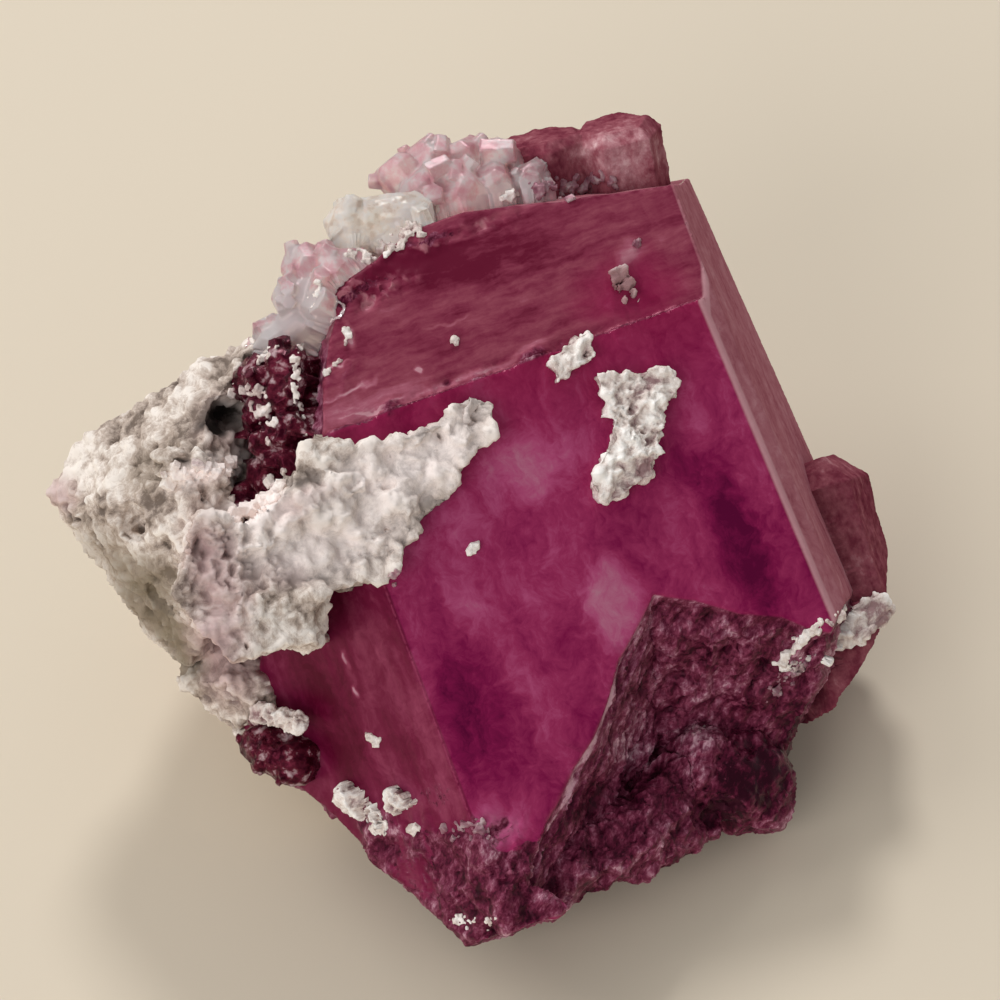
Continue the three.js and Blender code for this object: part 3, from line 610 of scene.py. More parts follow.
def plain_mesh(obj):
    """Applies all of an object's modifiers to its mesh."""
    evaluated = obj.evaluated_get(bpy.context.evaluated_depsgraph_get())
    mesh = bpy.data.meshes.new_from_object(evaluated)
    obj.modifiers.clear()
    obj.data = mesh
    return obj


def new_object(name, mesh):
    obj = bpy.data.objects.new(name, mesh)
    bpy.context.scene.collection.objects.link(obj)
    return obj


def joined(name, objects):
    """One new object with the meshes of several, its doubled vertices merged."""
    shape = bmesh.new()
    for obj in objects:
        shape.from_mesh(obj.data)
    bmesh.ops.remove_doubles(shape, verts=shape.verts, dist=0.0001 * MM)
    mesh = bpy.data.meshes.new(name)
    shape.to_mesh(mesh)
    shape.free()
    return new_object(name, mesh)


def remeshed(obj, cell):
    """Lays one closed skin of small squares over an object. `cell` is their size in mm."""
    squares = obj.modifiers.new("squares", "REMESH")
    squares.mode = "VOXEL"
    squares.voxel_size = cell * MM
    return plain_mesh(obj)


def fine_skin(node, name, cell, crisp=True):
    """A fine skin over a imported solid, pulled onto its flat faces if it is crisp."""
    target = joined(name + "_target", [nodes[node]])
    skin = remeshed(new_object(name, target.data.copy()), cell)
    if crisp:
        skin.modifiers.new("onto the faces", "SHRINKWRAP").target = target
        plain_mesh(skin)
    bpy.data.objects.remove(target)
    return skin


def thinned(obj, most=190_000):
    """Merges squares where the surface is flat, until at most `most` triangles are left."""
    triangles = sum(len(face.vertices) - 2 for face in obj.data.polygons)
    if triangles > most:
        obj.modifiers.new("fewer", "DECIMATE").ratio = most / triangles
        plain_mesh(obj)
    return obj


def smoothed(obj, corner):
    """Shades an object smooth, apart from edges sharper than `corner` degrees."""
    obj.data.shade_smooth()
    obj.data.set_sharp_from_angle(angle=math.radians(corner))
    return obj


MAIN_CELL = 0.072
crystal = fine_skin("main_crystal", "red_beryl_main", MAIN_CELL)
print("large crystal:", len(crystal.data.polygons), "squares of", MAIN_CELL, "mm")

# %% [markdown]
# ## Relief from Geometry Nodes
#
# Growth lines, broken grain and weathered lumps are all height fields: every point moves along its own
# normal by a sum of patterns. A Geometry Nodes tree does this to a hundred thousand points at once. The
# same height is stored on the mesh, so that the shader can darken the hollows with painted shade.
#
# The imported solids keep a narrow seam between them. In the real specimen rock and crystals are grown
# together, so Geometry Proximity finds the points that are within reach of the neighbour and draws them
# onto it, a hair's breadth deep.

# %% Helpers for relief trees
SEAM_REACH = 0.2
GRIP = 0.04


def geometry_tree(name, **sizes):
    """A Geometry Nodes tree with one named input for each size, and the outputs of its input node."""
    tree = bpy.data.node_groups.new(name, "GeometryNodeTree")
    tree.interface.new_socket("Geometry", in_out="INPUT", socket_type="NodeSocketGeometry")
    for label, value in sizes.items():
        kind = {float: "Float", int: "Int"}.get(type(value), type(value).__name__)
        label = label.replace("_", " ")
        socket = tree.interface.new_socket(label, in_out="INPUT", socket_type="NodeSocket" + kind)
        socket.default_value = value
    tree.interface.new_socket("Geometry", in_out="OUTPUT", socket_type="NodeSocketGeometry")
    return tree, add(tree, "NodeGroupInput").node.outputs


def scales(tree, size, *labels):
    """The texture scale, one over the size in mm, for some of a tree's named sizes."""
    return [add(tree, "ShaderNodeMath", [1.0, size[label]], operation="DIVIDE") for label in labels]


def raised(tree, geometry, height, deepest):
    """Moves every point out by a height in mm, and stores height / deepest as 'relief'.

    The direction is blurred, because the normals beside a sharp edge jump about and would leave teeth.
    What would sink below the floor is lifted back onto it, because the specimen rests on it.
    """
    normal = {"Value": add(tree, "GeometryNodeInputNormal"), "Iterations": 3}
    normal = add(tree, "GeometryNodeBlurAttribute", normal, data_type="FLOAT_VECTOR")
    in_metres = add(tree, "ShaderNodeMath", [height, MM], operation="MULTIPLY")
    offset = add(tree, "ShaderNodeVectorMath", {0: normal, "Scale": in_metres}, operation="SCALE")
    share = add(tree, "ShaderNodeMath", [height, deepest], operation="DIVIDE")
    kept = {"Geometry": geometry, "Name": "relief", "Value": share}
    stored = add(tree, "GeometryNodeStoreNamedAttribute", kept, data_type="FLOAT", domain="POINT")
    moved = add(tree, "GeometryNodeSetPosition", {"Geometry": stored, "Offset": offset})
    level = add(tree, "ShaderNodeSeparateXYZ", [add(tree, "GeometryNodeInputPosition")], out="Z")
    sunk = add(tree, "ShaderNodeMath", [0.0, level], operation="SUBTRACT")
    sunk = add(tree, "ShaderNodeMath", [sunk, 0.0], operation="MAXIMUM")
    lift = add(tree, "ShaderNodeCombineXYZ", {"Z": sunk})
    return add(tree, "GeometryNodeSetPosition", {"Geometry": moved, "Offset": lift})


def gripped(tree, geometry, beside, seam):
    """Draws the points that are within `seam` mm of an object onto it, and GRIP mm deep."""
    seam = add(tree, "ShaderNodeMath", [seam, MM], operation="MULTIPLY")
    other = add(tree, "GeometryNodeObjectInfo", {"Object": beside}, out="Geometry")
    nearest = {"Geometry": other}
    nearest = add(tree, "GeometryNodeProximity", nearest, out="Position", target_element="FACES")
    reach = {"A": nearest.node.outputs["Distance"], "B": seam}
    close = add(tree, "FunctionNodeCompare", reach, operation="LESS_THAN")
    gap = [nearest, add(tree, "GeometryNodeInputPosition")]
    gap = add(tree, "ShaderNodeVectorMath", gap, operation="SUBTRACT")
    inward = add(tree, "ShaderNodeVectorMath", [gap], operation="NORMALIZE")
    grip = add(tree, "ShaderNodeVectorMath", {0: inward, "Scale": GRIP * MM}, operation="SCALE")
    onto = add(tree, "ShaderNodeVectorMath", [gap, grip], operation="ADD")
    return add(tree, "GeometryNodeSetPosition", {"Geometry": geometry, "Selection": close, "Offset": onto})


def end_tree(tree, geometry, finish):
    """Makes instances real, gives the mesh its material, and ends the tree."""
    real = add(tree, "GeometryNodeRealizeInstances", [geometry])
    finished = add(tree, "GeometryNodeSetMaterial", {"Geometry": real, "Material": finish})
    add(tree, "NodeGroupOutput", [finished])
    return tree


def run_tree(obj, tree, **values):
    """Runs a tree on an object with its inputs set by identifier, and keeps the plain result."""
    modifier = obj.modifiers.new(tree.name, "NODES")
    modifier.node_group = tree
    for item in tree.interface.items_tree:
        label = item.name.replace(" ", "_")
        if item.in_out == "INPUT" and label in values:
            modifier[item.identifier] = values[label]
    return plain_mesh(obj)


print("relief helpers ready")

# %% [markdown]
# ## Relief on the large crystal
#
# Each kind of face has its own relief. The band above the step has fine growth steps across it, drawn
# out along x. The left and right faces have long faint lines along z. The broken foot is coarse: a slow
# noise gives it lumps, a Voronoi texture gives it shards, and sharp crests are its grain, as a glassy
# mineral breaks. Beside the ridge that bounds it the break runs in parallel splinters, so their noise
# is drawn out along the ridge. The lobe is sleeker than the rest of the foot. The upper edge of the
# band, the step and the tip below the left face are nibbled, so patches of the same break lie there.

# %% Growth lines, splinters and broken grain
RELIEF_FADE = 0.25
CRYSTAL_RELIEF = 0.15
RIGHT_LINES = 0.02
LEFT_LINES = 0.03
SPLINTER_REACH = 1.6
SLEEKEST = 1.1
CRYSTAL_CORNER = 38
NIBBLED = [
    *TIP, (-1.4, 5.7, 1.3, 0.4, 0.8), (1.2, 6.3, 2.0, 0.25, 0.5), (-1.0, 2.9, 2.2, 0.25, 0.35),
    (2.0, 3.0, 1.5, 0.15, 0.3), (-2.6, 4.3, 0.6, 1.0, 0.3), (-4.6, -6.6, 0.5, 0.8, 0.4),
    (-2.6, -7.4, 1.0, 0.5, 0.3),
]


def crystal_patterns(tree, size, point):
    """Growth steps and lines, and the lumps, shards, crests and splinters of the broken foot."""
    per_stria, per_lump, per_shard, per_grain, per_splinter = scales(
        tree, size, "Stria spacing", "Lump size", "Shard size", "Grain size", "Splinter spacing"
    )
    level = stretched(tree, bent(tree, point, 0.8, 0.15), RIGHT, 0.15)
    steps = add(tree, "ShaderNodeTexNoise", {"Vector": level, "Scale": per_stria, "Detail": 3.0})
    tall = stretched(tree, point, UP, 0.06)
    lines = add(tree, "ShaderNodeTexNoise", {"Vector": tall, "Scale": per_stria, "Detail": 2.0})
    lumps = add(tree, "ShaderNodeTexNoise", {"Vector": point, "Scale": per_lump, "Detail": 2.0})
    shards = stretched(tree, bent(tree, point, 0.8, 0.3), RIDGE_WAY, 0.6)
    shards = add(tree, "ShaderNodeTexVoronoi", {"Vector": shards, "Scale": per_shard})
    crests = {"Vector": bent(tree, point, 0.5, 0.2), "Scale": per_grain, "Detail": 3.0, "Roughness": 0.5}
    crests = crested(tree, add(tree, "ShaderNodeTexNoise", crests))
    along = stretched(tree, point, RIDGE_WAY, 0.1)
    splinters = {"Vector": along, "Scale": per_splinter, "Detail": 1.5}
    splinters = crested(tree, add(tree, "ShaderNodeTexNoise", splinters))
    return steps, lines, lumps, shards, crests, splinters


def crystal_tree():
    tree, size = geometry_tree(
        "crystal relief",
        Stria_spacing=0.25,
        Stria_height=0.035,
        Lump_size=1.3,
        Lump_height=0.4,
        Shard_size=0.65,
        Shard_height=0.4,
        Grain_size=0.32,
        Grain_height=0.11,
        Splinter_spacing=0.28,
        Splinter_height=0.2,
        Finish=RED_BERYL,
    )
    point = upright_position(tree, add(tree, "GeometryNodeInputPosition"))
    band, left, right, broken = face_masks(tree, point, RELIEF_FADE)
    steps, lines, lumps, shards, crests, splinters = crystal_patterns(tree, size, point)
    ridge = beside_ridge(tree, point, SPLINTER_REACH)
    ridge = add(tree, "ShaderNodeMath", [ridge, broken], operation="MULTIPLY")
    calm = add(tree, "ShaderNodeMath", [1.0, ridge], operation="SUBTRACT")
    rough = add(tree, "ShaderNodeMath", [broken, patches(tree, point, NIBBLED)], operation="MAXIMUM")
    rough = add(tree, "ShaderNodeMath", [rough, calm], operation="MULTIPLY")
    sleek = add(tree, "ShaderNodeMath", [SLEEKEST, patches(tree, point, LOBE)], operation="SUBTRACT")
    grainy = add(tree, "ShaderNodeMath", [rough, sleek], operation="MULTIPLY", use_clamp=True)
    height = weighed(
        tree,
        [
            (steps, 0.5, size["Stria height"], band),
            (lines, 0.5, RIGHT_LINES, right),
            (lines, 0.5, LEFT_LINES, left),
            (lumps, 0.5, size["Lump height"], rough),
            (shards, 0.4, size["Shard height"], grainy),
            (crests, 0.6, size["Grain height"], grainy),
            (splinters, 0.6, size["Splinter height"], ridge),
        ],
    )
    return end_tree(tree, raised(tree, size["Geometry"], height, CRYSTAL_RELIEF), size["Finish"])


run_tree(crystal, crystal_tree())
thinned(crystal)
smoothed(crystal, CRYSTAL_CORNER)
print("large crystal after relief:", len(crystal.data.polygons), "faces")

# %% [markdown]
# ## Weathered rhyolite
#
# Where rhyolite weathers it breaks into rounded knobs a fraction of a millimetre across, with pits
# between them. A Voronoi texture gives the knobs, because the distance to the nearest of its points
# falls away evenly on all sides, and bending its position breaks up the regular spacing. Fine knobs lie
# everywhere. The block has pits as well, and the tongue that licks over the crystal has large soft
# knobs. Where the rock crumbles, sharp crests stand out as chunks. The tip of the tongue is slimmed,
# and the scraps of rock run through the same tree with smaller sizes.

# %% Rock relief
BLOCK_EDGE = -6.3
TONGUE_START = -4.8
CRUMBLED = [
    (-6.4, 1.0, 1.3, 1.6, 0.8), (-3.0, 0.0, 1.2, 0.5, 0.6), (-6.2, 3.2, 1.0, 0.4, 0.8),
    (-3.2, 1.6, 2.0, 0.8, 0.45), (-0.6, 2.1, 1.2, 0.5, 0.35), (-5.2, -5.6, 1.0, 0.8, 0.6),
    (-6.6, -3.0, 0.8, 0.5, 0.5), (3.7, 0.5, 1.0, 1.2, 0.4),
]
SLENDER = [(0.35, 2.2, 0.5, 0.6, 1.0)]
CHUNK_HEIGHT = 0.45
SLIMMED = 0.2
KNOB_LEVEL = 0.45
FINE_SHARE = 0.4
PIT_EDGE = (0.6, 0.75)
ROCK_RELIEF = 0.2


def rock_patterns(tree, size, point):
    """Slow lumps, fine and large knobs, grit, pits and sharp-crested chunks."""
    per_lump, per_fine, per_large, per_grit, per_pit = scales(
        tree, size, "Lump size", "Fine knob", "Large knob", "Grit size", "Pit size"
    )
    wander = bent(tree, bent(tree, point, 0.9, 0.3), 0.3, 0.1)
    lumps = add(tree, "ShaderNodeTexNoise", {"Vector": point, "Scale": per_lump, "Detail": 3.0})
    knobs = {"Vector": wander, "Smoothness": 0.3}
    fine = add(tree, "ShaderNodeTexVoronoi", knobs | {"Scale": per_fine}, feature="SMOOTH_F1")
    large = add(tree, "ShaderNodeTexVoronoi", knobs | {"Scale": per_large}, feature="SMOOTH_F1")
    grit = {"Vector": wander, "Scale": per_grit, "Detail": 4.0, "Roughness": 0.6}
    grit = add(tree, "ShaderNodeTexNoise", grit)
    hollows = add(tree, "ShaderNodeTexNoise", {"Vector": wander, "Scale": per_pit, "Detail": 3.0})
    pits = add(tree, "ShaderNodeMapRange", [hollows, *PIT_EDGE], interpolation_type="SMOOTHSTEP")
    chunks = {"Vector": wander, "Scale": per_large, "Detail": 3.0, "Roughness": 0.6}
    chunks = crested(tree, add(tree, "ShaderNodeTexNoise", chunks))
    return lumps, fine, large, grit, pits, chunks


def rock_tree():
    tree, size = geometry_tree(
        "rock relief",
        Lump_size=1.2,
        Lump_height=0.45,
        Fine_knob=0.25,
        Large_knob=0.7,
        Knob_height=0.5,
        Grit_size=0.22,
        Grit_height=0.15,
        Pit_size=0.42,
        Pit_depth=0.3,
        Seam=SEAM_REACH,
        Beside=crystal,
        Finish=RHYOLITE,
    )
    point = upright_position(tree, add(tree, "GeometryNodeInputPosition"))
    across = add(tree, "ShaderNodeSeparateXYZ", [point], out="X")
    tongue = add(tree, "ShaderNodeMapRange", [across, BLOCK_EDGE, TONGUE_START])
    block = add(tree, "ShaderNodeMath", [1.0, tongue], operation="SUBTRACT")
    lumps, fine, large, grit, pits, chunks = rock_patterns(tree, size, point)
    small = add(tree, "ShaderNodeMath", [size["Knob height"], FINE_SHARE], operation="MULTIPLY")
    crumbling = patches(tree, point, CRUMBLED)
    crumbling = add(tree, "ShaderNodeMath", [crumbling, CHUNK_HEIGHT], operation="MULTIPLY")
    height = weighed(
        tree,
        [
            (lumps, 0.5, size["Lump height"]),
            (KNOB_LEVEL, fine, small),
            (KNOB_LEVEL, large, size["Knob height"], tongue),
            (grit, 0.5, size["Grit height"]),
            (0.0, pits, size["Pit depth"], block),
            (chunks, 0.6, crumbling),
            (0.0, patches(tree, point, SLENDER), SLIMMED),
        ],
    )
    shaped = raised(tree, size["Geometry"], height, ROCK_RELIEF)
    return end_tree(tree, gripped(tree, shaped, size["Beside"], size["Seam"]), size["Finish"])


ROCK_CELL = 0.07
NO_CORNERS = 180
rock_relief = rock_tree()
matrix = fine_skin("matrix", "rhyolite_matrix", ROCK_CELL, crisp=False)
run_tree(matrix, rock_relief)
thinned(matrix)
smoothed(matrix, NO_CORNERS)
print("matrix:", len(matrix.data.polygons), "faces")

SCRAPS = [
    "large_rock_scrap", "square_rock_scrap", "upper_rock_scrap", "vein_rock", "notch_rock_scrap",
    "foot_rock_scrap", "heel_rock_scrap", "left_rock_scrap",
]
SCRAP_SIZES = {"Lump_size": 0.7, "Lump_height": 0.3, "Large_knob": 0.42, "Knob_height": 0.3}
SCRAP_SIZES |= {"Grit_height": 0.1}
SCRAP_CELL = 0.035
scraps = {}
for node in SCRAPS:
    scrap = fine_skin(node, "white_" + node, SCRAP_CELL, crisp=False)
    run_tree(scrap, rock_relief, Finish=WHITE_RHYOLITE, **SCRAP_SIZES)
    scraps[node] = smoothed(scrap, NO_CORNERS)
    print(node, len(scrap.data.polygons), "faces")

# %% [markdown]
# ## The smaller crystals
#
# Two stout crystals stand on the flanks of the large one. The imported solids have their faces, and a
# soft waviness is added. The druses are crusts of tiny six-sided prisms that grew at all angles. The packed
# crust has the larger ones, and a tree scatters smaller prisms over it, each turned out along the
# surface with a random tilt. Prisms that merely push through each other would leave walls inside a
# see-through crust, so one remesh fuses them all into a single closed skin. The lump of dark beryl on
# the lower edge and the grain of quartz are made the same way, with a stronger waviness that rounds
# them. Each crust is then drawn onto whatever was finished before it.

# %% Small crystals and druses
PRISM_TOP = 0.75
PRISM_LENGTH = 2.0
PRISM_SUNK = 1.3
WAVE_RELIEF = 0.1


def crust_tree():
    sizes = {"Per_square_mm": 1.4, "Smallest": 0.15, "Largest": 0.4, "Tilt": 0.6, "Seed": 4}
    tree, size = geometry_tree("prisms on a crust", **sizes, Finish=PALE_BERYL)
    per_metre = add(tree, "ShaderNodeMath", [size["Per square mm"], MM**-2], operation="MULTIPLY")
    scattered = {"Mesh": size["Geometry"], "Density": per_metre, "Seed": size["Seed"]}
    scattered = add(tree, "GeometryNodeDistributePointsOnFaces", scattered, out="Points")
    prism = {"Vertices": 6, "Radius Top": PRISM_TOP * MM, "Radius Bottom": MM, "Depth": PRISM_LENGTH * MM}
    prism = add(tree, "GeometryNodeMeshCone", prism, out="Mesh")
    prism = {"Geometry": prism, "Translation": Vector((0, 0, -PRISM_SUNK * MM))}
    prism = add(tree, "GeometryNodeTransform", prism)
    back = add(tree, "ShaderNodeMath", [0.0, size["Tilt"]], operation="SUBTRACT")
    tilt = {0: back, 1: size["Tilt"], "Seed": 1}
    tilt = add(tree, "FunctionNodeRandomValue", tilt, data_type="FLOAT_VECTOR")
    turned = {"Rotation": scattered.node.outputs["Rotation"], "Rotate By": tilt}
    turned = add(tree, "FunctionNodeRotateRotation", turned)
    widths = {2: size["Smallest"], 3: size["Largest"], "Seed": 2}
    widths = add(tree, "FunctionNodeRandomValue", widths, out=1, data_type="FLOAT")
    prisms = {"Points": scattered, "Instance": prism, "Rotation": turned, "Scale": widths}
    prisms = add(tree, "GeometryNodeInstanceOnPoints", prisms)
    both = add(tree, "GeometryNodeJoinGeometry", [(size["Geometry"], prisms)])
    return end_tree(tree, both, size["Finish"])


def wavy_tree():
    sizes = {"Wave_size": 0.6, "Wave_height": 0.03, "Seam": SEAM_REACH}
    tree, size = geometry_tree("slight waviness", **sizes, Beside=crystal, Finish=SMALL_BERYL)
    point = upright_position(tree, add(tree, "GeometryNodeInputPosition"))
    (per_wave,) = scales(tree, size, "Wave size")
    waves = {"Vector": point, "Scale": per_wave, "Detail": 4.0, "Roughness": 0.6}
    waves = add(tree, "ShaderNodeTexNoise", waves)
    height = weighed(tree, [(waves, 0.5, size["Wave height"])])
    shaped = raised(tree, size["Geometry"], height, WAVE_RELIEF)
    return end_tree(tree, gripped(tree, shaped, size["Beside"], size["Seam"]), size["Finish"])


wavy = wavy_tree()
prisms_on_crust = crust_tree()
small = {}
FLANK_CELL = 0.045
FLANK_CORNER = 30
FLANKS = [("top_crystal", "raspberry_top", 0.3), ("side_crystal", "raspberry_side", 0.25)]
for node, name, wave in FLANKS:
    small[node] = run_tree(fine_skin(node, name, FLANK_CELL), wavy, Wave_size=0.9, Wave_height=wave)
    smoothed(small[node], FLANK_CORNER)
    print(node, len(small[node].data.polygons), "faces")

PRISM_SIZES = ("Per_square_mm", "Smallest", "Largest", "Tilt", "Seed")
WAVE_SIZES = ("Wave_size", "Wave_height", "Seam")
DRUSES = [
    ("rim_druse", "pale_druse_rim", PALE_BERYL, (1.4, 0.15, 0.42, 0.6, 4), (0.6, 0.03, 0.35), 25),
    ("corner_druse", "pale_druse_corner", PALE_BERYL, (1.8, 0.15, 0.36, 0.6, 9), (0.6, 0.03, 0.35), 25),
    ("pocket_druse", "dark_druse_pocket", DARK_BERYL, (2.5, 0.15, 0.30, 0.6, 5), (0.6, 0.03, 0.3), 25),
    ("edge_beryl", "dark_druse_edge", DARK_BERYL, (3.0, 0.12, 0.28, 0.7, 6), (0.5, 0.3, 0.2), 30),
    ("quartz_grain", "milky_quartz_grain", QUARTZ, (0.7, 0.25, 0.4, 0.4, 3), (0.8, 0.3, 0.35), 25),
]
DRUSE_CELL = 0.035
ground = joined("ground", [crystal, matrix, *small.values()])
for node, name, finish, prisms, waves, corner in DRUSES:
    druse = fine_skin(node, name, DRUSE_CELL)
    run_tree(druse, prisms_on_crust, Finish=finish, **dict(zip(PRISM_SIZES, prisms)))
    remeshed(druse, DRUSE_CELL)
    run_tree(druse, wavy, Beside=ground, Finish=finish, **dict(zip(WAVE_SIZES, waves)))
    small[node] = smoothed(druse, corner)
    print(node, len(druse.data.polygons), "faces")
    bpy.data.objects.remove(ground)
    ground = joined("ground", [crystal, matrix, *small.values()])

# %% [markdown]
# ## Crumbs along seams and cracks
#
# Where crystal and rock parted, crumbs of both stay stuck: white ones mostly along the pocket's rim,
# the left edge and the vein, pink ones on the foot and the upper rim. Each row of crumbs follows a
# short line, and comes with its spread and its smallest and largest size. The tree sets points
# closely along it, shakes them, and keeps those where a noise is high, so that they gather in clumps.
# Raycast drops them along y onto the specimen, and each gets a small box of random stretch. Their
# sizes are squared random numbers, because a break leaves many small crumbs for each large one. One
# remesh fuses those that touch, and a little noise roughens them, so that no two are alike.

# %% Crumbs
WHITE_CRUMBS = [
    ([(-1.95, 5.15), (-2.0, 4.9), (-2.1, 4.7)], 0.06, 0.06, 0.15),
    ([(-2.95, 4.15), (-2.35, 4.4)], 0.05, 0.05, 0.1),
    ([(0.24, 3.93), (0.32, 3.86)], 0.05, 0.1, 0.15),
    ([(-1.1, -0.87), (-0.85, -0.8)], 0.06, 0.1, 0.18),
    ([(-4.9, -4.1), (-4.65, -4.4)], 0.08, 0.07, 0.16),
    ([(-4.7, -6.5), (-4.55, -6.6)], 0.08, 0.1, 0.2),
    ([(-4.5, -8.8), (-4.1, -9.1), (-3.6, -9.15)], 0.15, 0.04, 0.14),
    # This row sits on a glint of the rim druse: a painted highlight in white crumbs.
    ([(2.6, 6.8), (2.9, 6.75)], 0.08, 0.08, 0.2),
    ([(-1.3, 6.6), (-0.6, 6.45), (0.5, 6.7)], 0.14, 0.05, 0.18),
    ([(-0.9, 6.6), (-0.3, 6.6), (0.4, 6.85)], 0.16, 0.05, 0.18),
    ([(-3.1, 5.1), (-3.35, 4.7), (-3.6, 4.0), (-3.75, 3.1)], 0.09, 0.04, 0.14),
    ([(-2.2, 6.3), (-2.7, 5.8)], 0.1, 0.04, 0.12),
    # These two rows sit on glints in the pocket: painted highlights in white crumbs.
    ([(-4.5, 4.35), (-4.35, 4.25)], 0.1, 0.08, 0.18),
    ([(-4.2, 5.2), (-3.7, 5.1)], 0.15, 0.05, 0.16),
    ([(-4.9, 4.6), (-4.4, 3.9), (-4.6, 3.4)], 0.25, 0.03, 0.2),
    # These two rows sit on knobs of the block that catch the lamp: painted light in white crumbs.
    ([(-7.0, 3.2), (-6.4, 3.1), (-5.6, 2.9)], 0.2, 0.08, 0.28),
    ([(-5.9, 2.0), (-5.2, 1.8), (-4.7, 2.3)], 0.2, 0.08, 0.28),
    ([(4.9, -5.95), (5.6, -5.6), (6.9, -5.4)], 0.12, 0.06, 0.2),
]
PINK_CRUMBS = [
    ([(-0.85, 3.45), (-0.7, 3.5)], 0.05, 0.06, 0.12),
    ([(5.15, 4.6), (5.3, 4.65)], 0.08, 0.05, 0.14),
    ([(-3.0, -0.9), (-2.9, -0.75)], 0.08, 0.06, 0.16),
    ([(2.4, -6.8), (2.7, -6.85)], 0.12, 0.06, 0.16),
    ([(4.5, -6.7), (5.4, -6.2)], 0.15, 0.05, 0.14),
    ([(-3.8, -6.8), (-3.0, -7.1)], 0.2, 0.06, 0.16),
    ([(3.3, 6.75), (4.2, 6.5), (5.2, 6.3)], 0.25, 0.06, 0.24),
]
BEFORE = -12
CRUMB_CELL = 0.026
STONE_LUMP = 0.14
STONE_PUSH = 0.07
STONE_WIDTH = 1.6
FLATTEST = 0.4
STONE_CORNER = 60
BARE_BELOW = 0.45
ONES = Vector((1, 1, 1))


def shaken_points(tree, size):
    """Points set closely along a line and shaken about."""
    spacing = add(tree, "ShaderNodeMath", [size["Spacing"], MM], operation="MULTIPLY")
    line = add(tree, "GeometryNodeMeshToCurve", [size["Geometry"]])
    spaced = add(tree, "GeometryNodeResampleCurve", {"Curve": line, "Length": spacing}, mode="LENGTH")
    spaced = add(tree, "GeometryNodeCurveToPoints", {"Curve": spaced}, out="Points", mode="EVALUATED")
    shake = {0: -ONES, 1: ONES, "Seed": size["Seed"]}
    shake = add(tree, "FunctionNodeRandomValue", shake, data_type="FLOAT_VECTOR")
    spread = add(tree, "ShaderNodeMath", [size["Spread"], MM], operation="MULTIPLY")
    shake = add(tree, "ShaderNodeVectorMath", {0: shake, "Scale": spread}, operation="SCALE")
    return add(tree, "GeometryNodeSetPosition", {"Geometry": spaced, "Offset": shake})


def landed_points(tree, size, points):
    """Keeps the points where a noise is high, and drops them along y onto the ground."""
    ground_mesh = add(tree, "GeometryNodeObjectInfo", {"Object": size["Ground"]}, out="Geometry")
    ray = {"Target Geometry": ground_mesh, "Ray Direction": REST @ Vector((0, 1, 0)), "Ray Length": 1.0}
    hit = add(tree, "GeometryNodeRaycast", ray, out="Hit Position")
    missed = add(tree, "FunctionNodeBooleanMath", [hit.node.outputs["Is Hit"]], operation="NOT")
    point = upright_position(tree, add(tree, "GeometryNodeInputPosition"))
    (per_clump,) = scales(tree, size, "Clump")
    clumps = add(tree, "ShaderNodeTexNoise", {"Vector": point, "Scale": per_clump, "Detail": 2.0})
    bare = add(tree, "FunctionNodeCompare", {"A": clumps, "B": BARE_BELOW}, operation="LESS_THAN")
    dropped = add(tree, "FunctionNodeBooleanMath", [missed, bare], operation="OR")
    kept = add(tree, "GeometryNodeDeleteGeometry", {"Geometry": points, "Selection": dropped})
    return add(tree, "GeometryNodeSetPosition", {"Geometry": kept, "Position": hit})


def stones(tree, size, points):
    """A small box on each point, with a random turn, stretch and size."""
    stone = add(tree, "GeometryNodeMeshCube", {"Size": STONE_WIDTH * MM * ONES}, out="Mesh")
    turn = {0: Vector((0, 0, 0)), 1: 2 * math.pi * ONES, "Seed": 2}
    turn = add(tree, "FunctionNodeRandomValue", turn, data_type="FLOAT_VECTOR")
    stretch = {0: FLATTEST * ONES, 1: ONES, "Seed": 3}
    stretch = add(tree, "FunctionNodeRandomValue", stretch, data_type="FLOAT_VECTOR")
    chance = add(tree, "FunctionNodeRandomValue", {"Seed": 4}, out=1, data_type="FLOAT")
    chance = add(tree, "ShaderNodeMath", [chance, 2.0], operation="POWER")
    girth = add(tree, "ShaderNodeMapRange", {0: chance, 3: size["Smallest"], 4: size["Largest"]})
    girth = add(tree, "ShaderNodeVectorMath", {0: stretch, "Scale": girth}, operation="SCALE")
    boxes = {"Points": points, "Instance": stone, "Rotation": turn, "Scale": girth}
    return add(tree, "GeometryNodeInstanceOnPoints", boxes)


def crumb_tree():
    tree, size = geometry_tree(
        "crumbs along a line",
        Spacing=0.025,
        Spread=0.1,
        Clump=0.3,
        Smallest=0.03,
        Largest=0.12,
        Seed=1,
        Ground=ground,
        Finish=WHITE_RHYOLITE,
    )
    points = landed_points(tree, size, shaken_points(tree, size))
    return end_tree(tree, stones(tree, size, points), size["Finish"])


def crumbs(name, rows, finish):
    """All the rows of crumbs of one kind, as one piece."""
    tree = crumb_tree()
    made = []
    for seed, (line, spread, smallest, largest) in enumerate(rows):
        mesh = bpy.data.meshes.new("line")
        points = [to_world((x, BEFORE, z)) for x, z in line]
        mesh.from_pydata(points, [(i, i + 1) for i in range(len(points) - 1)], [])
        sizes = {"Spread": spread, "Smallest": smallest, "Largest": largest}
        made.append(run_tree(new_object("row", mesh), tree, Seed=seed, Finish=finish, **sizes))
    piece = joined(name, made)
    for row in made:
        bpy.data.objects.remove(row)
    remeshed(piece, CRUMB_CELL)
    run_tree(piece, wavy, Wave_size=STONE_LUMP, Wave_height=STONE_PUSH, Seam=0.0, Finish=finish)
    return smoothed(piece, STONE_CORNER)


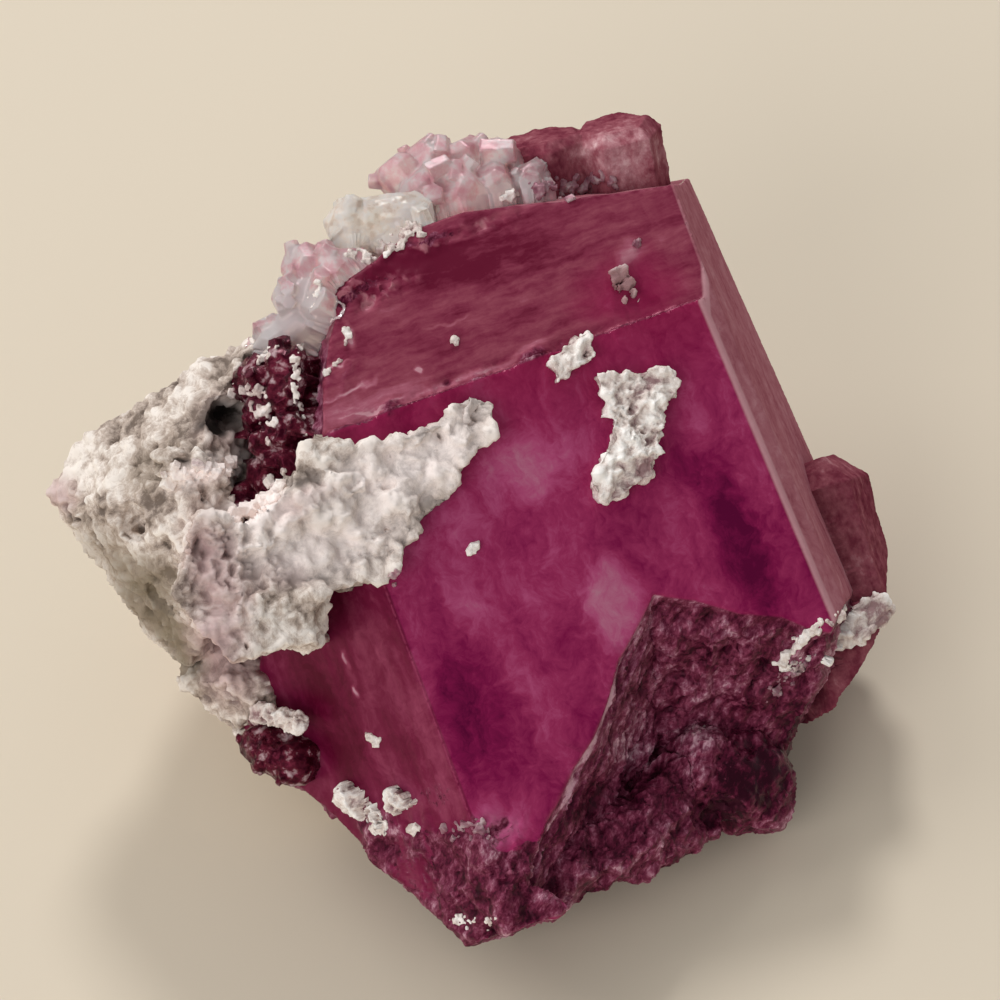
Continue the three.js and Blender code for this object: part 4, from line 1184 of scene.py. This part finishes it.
white_crumbs = crumbs("white_crumbs", WHITE_CRUMBS, WHITE_RHYOLITE)
pink_crumbs = crumbs("pink_crumbs", PINK_CRUMBS, PINK_CHIPS)
bpy.data.objects.remove(ground)
print("crumbs:", len(white_crumbs.data.polygons), "white and", len(pink_crumbs.data.polygons), "pink faces")

# %% [markdown]
# ## Everything rides on one body
#
# A stone has no joints, so every piece rides on the root body. Each dressed piece stands for the packed
# solid that it was made from, which is hidden.

# %% Finish the pieces
pieces = [(crystal, "main_crystal"), (matrix, "matrix")]
pieces += [(obj, node) for node, obj in [*small.items(), *scraps.items()]]
for piece, node in pieces:
    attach(piece, "root")
    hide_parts(node)
for piece, slot in [(white_crumbs, "white_rhyolite"), (pink_crumbs, "pale_beryl")]:
    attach(piece, "root")
print(len(pieces) + 2, "pieces ride on the root body")

# %% [markdown]
# ## Floor, light and camera
#
# A pale plain floor shows the specimen's outline and sends warm light back up into it. One soft lamp
# stands behind, as a window would, so that the shadows fall towards the viewer. Two large weak
# panels and an even world fill them. The camera stands far back with a long lens, square to the
# crystal's long axis, which keeps the crystal's parallel edges parallel.

# %% The stage
floor_mesh = bpy.data.meshes.new("pale_floor")
HALF = 0.4
corners = [(-HALF, -HALF, 0), (HALF, -HALF, 0), (HALF, HALF, 0), (-HALF, HALF, 0)]
floor_mesh.from_pydata(corners, [], [(0, 1, 2, 3)])
floor = new_object("pale_floor", floor_mesh)
cream, tree = material("cream_floor")
surface = add(tree, "ShaderNodeBsdfPrincipled", {"Base Color": linear("#dbceb9"), "Roughness": 0.8})
add(tree, "ShaderNodeOutputMaterial", [surface])
floor.data.materials.append(cream)
floor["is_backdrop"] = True


def softbox(name, place, size, power):
    """A round lamp that faces the specimen. Place and size are in metres, power in watts."""
    lamp = bpy.data.lights.new(name, "AREA")
    lamp.shape = "DISK"
    lamp.size = size
    lamp.energy = power
    obj = bpy.data.objects.new(name, lamp)
    obj.location = place
    obj.rotation_euler = (-Vector(place)).to_track_quat("-Z", "Y").to_euler()
    bpy.context.scene.collection.objects.link(obj)


softbox("window", (-0.03, 0.26, 0.27), 0.08, 0.55)
softbox("left_panel", (-0.28, 0.1, 0.28), 0.3, 0.5)
softbox("front_panel", (-0.2, -0.34, 0.2), 0.3, 0.8)

world = bpy.data.worlds.new("studio")
world.use_nodes = True
world.node_tree.nodes.clear()
sky = add(world.node_tree, "ShaderNodeBackground", {"Color": linear("#f4f4f6"), "Strength": 0.42})
add(world.node_tree, "ShaderNodeOutputWorld", [sky])
bpy.context.scene.world = world

PICTURE_WIDTH = 1000
PIXELS_PER_MM = 42.5
VIEW_WIDTH = PICTURE_WIDTH / PIXELS_PER_MM
CAMERA_BACK = 122.6
LENS_DISTANCE = 120
SENSOR = 36
camera = bpy.data.cameras.new("camera")
camera.sensor_width = SENSOR
camera.lens = SENSOR * LENS_DISTANCE / VIEW_WIDTH
camera.clip_start = 0.005
view = bpy.data.objects.new("camera", camera)
back = math.radians(LEAN_BACK)
view.location = (Vector((0, -math.cos(back), math.sin(back))) * CAMERA_BACK + UPRIGHT_ORIGIN) * MM
view.rotation_euler = (math.pi / 2 - back, 0, 0)
bpy.context.scene.collection.objects.link(view)
bpy.context.scene.camera = view
bpy.context.scene.view_settings.view_transform = "Standard"
print("camera at", [round(v, 4) for v in view.location], "with a lens of", round(camera.lens), "mm")

# %% [markdown]
# ## The packed and the dressed size
#
# Relief and crumbs may stand a little proud, but the specimen must not grow. Both boxes are printed
# side by side.

# %% Measure and finish
visual_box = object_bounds()
for name, box in [("packed", cad_box), ("dressed", visual_box)]:
    print(name, [round((high - low) / MM, 2) for low, high in zip(*box)], "mm")
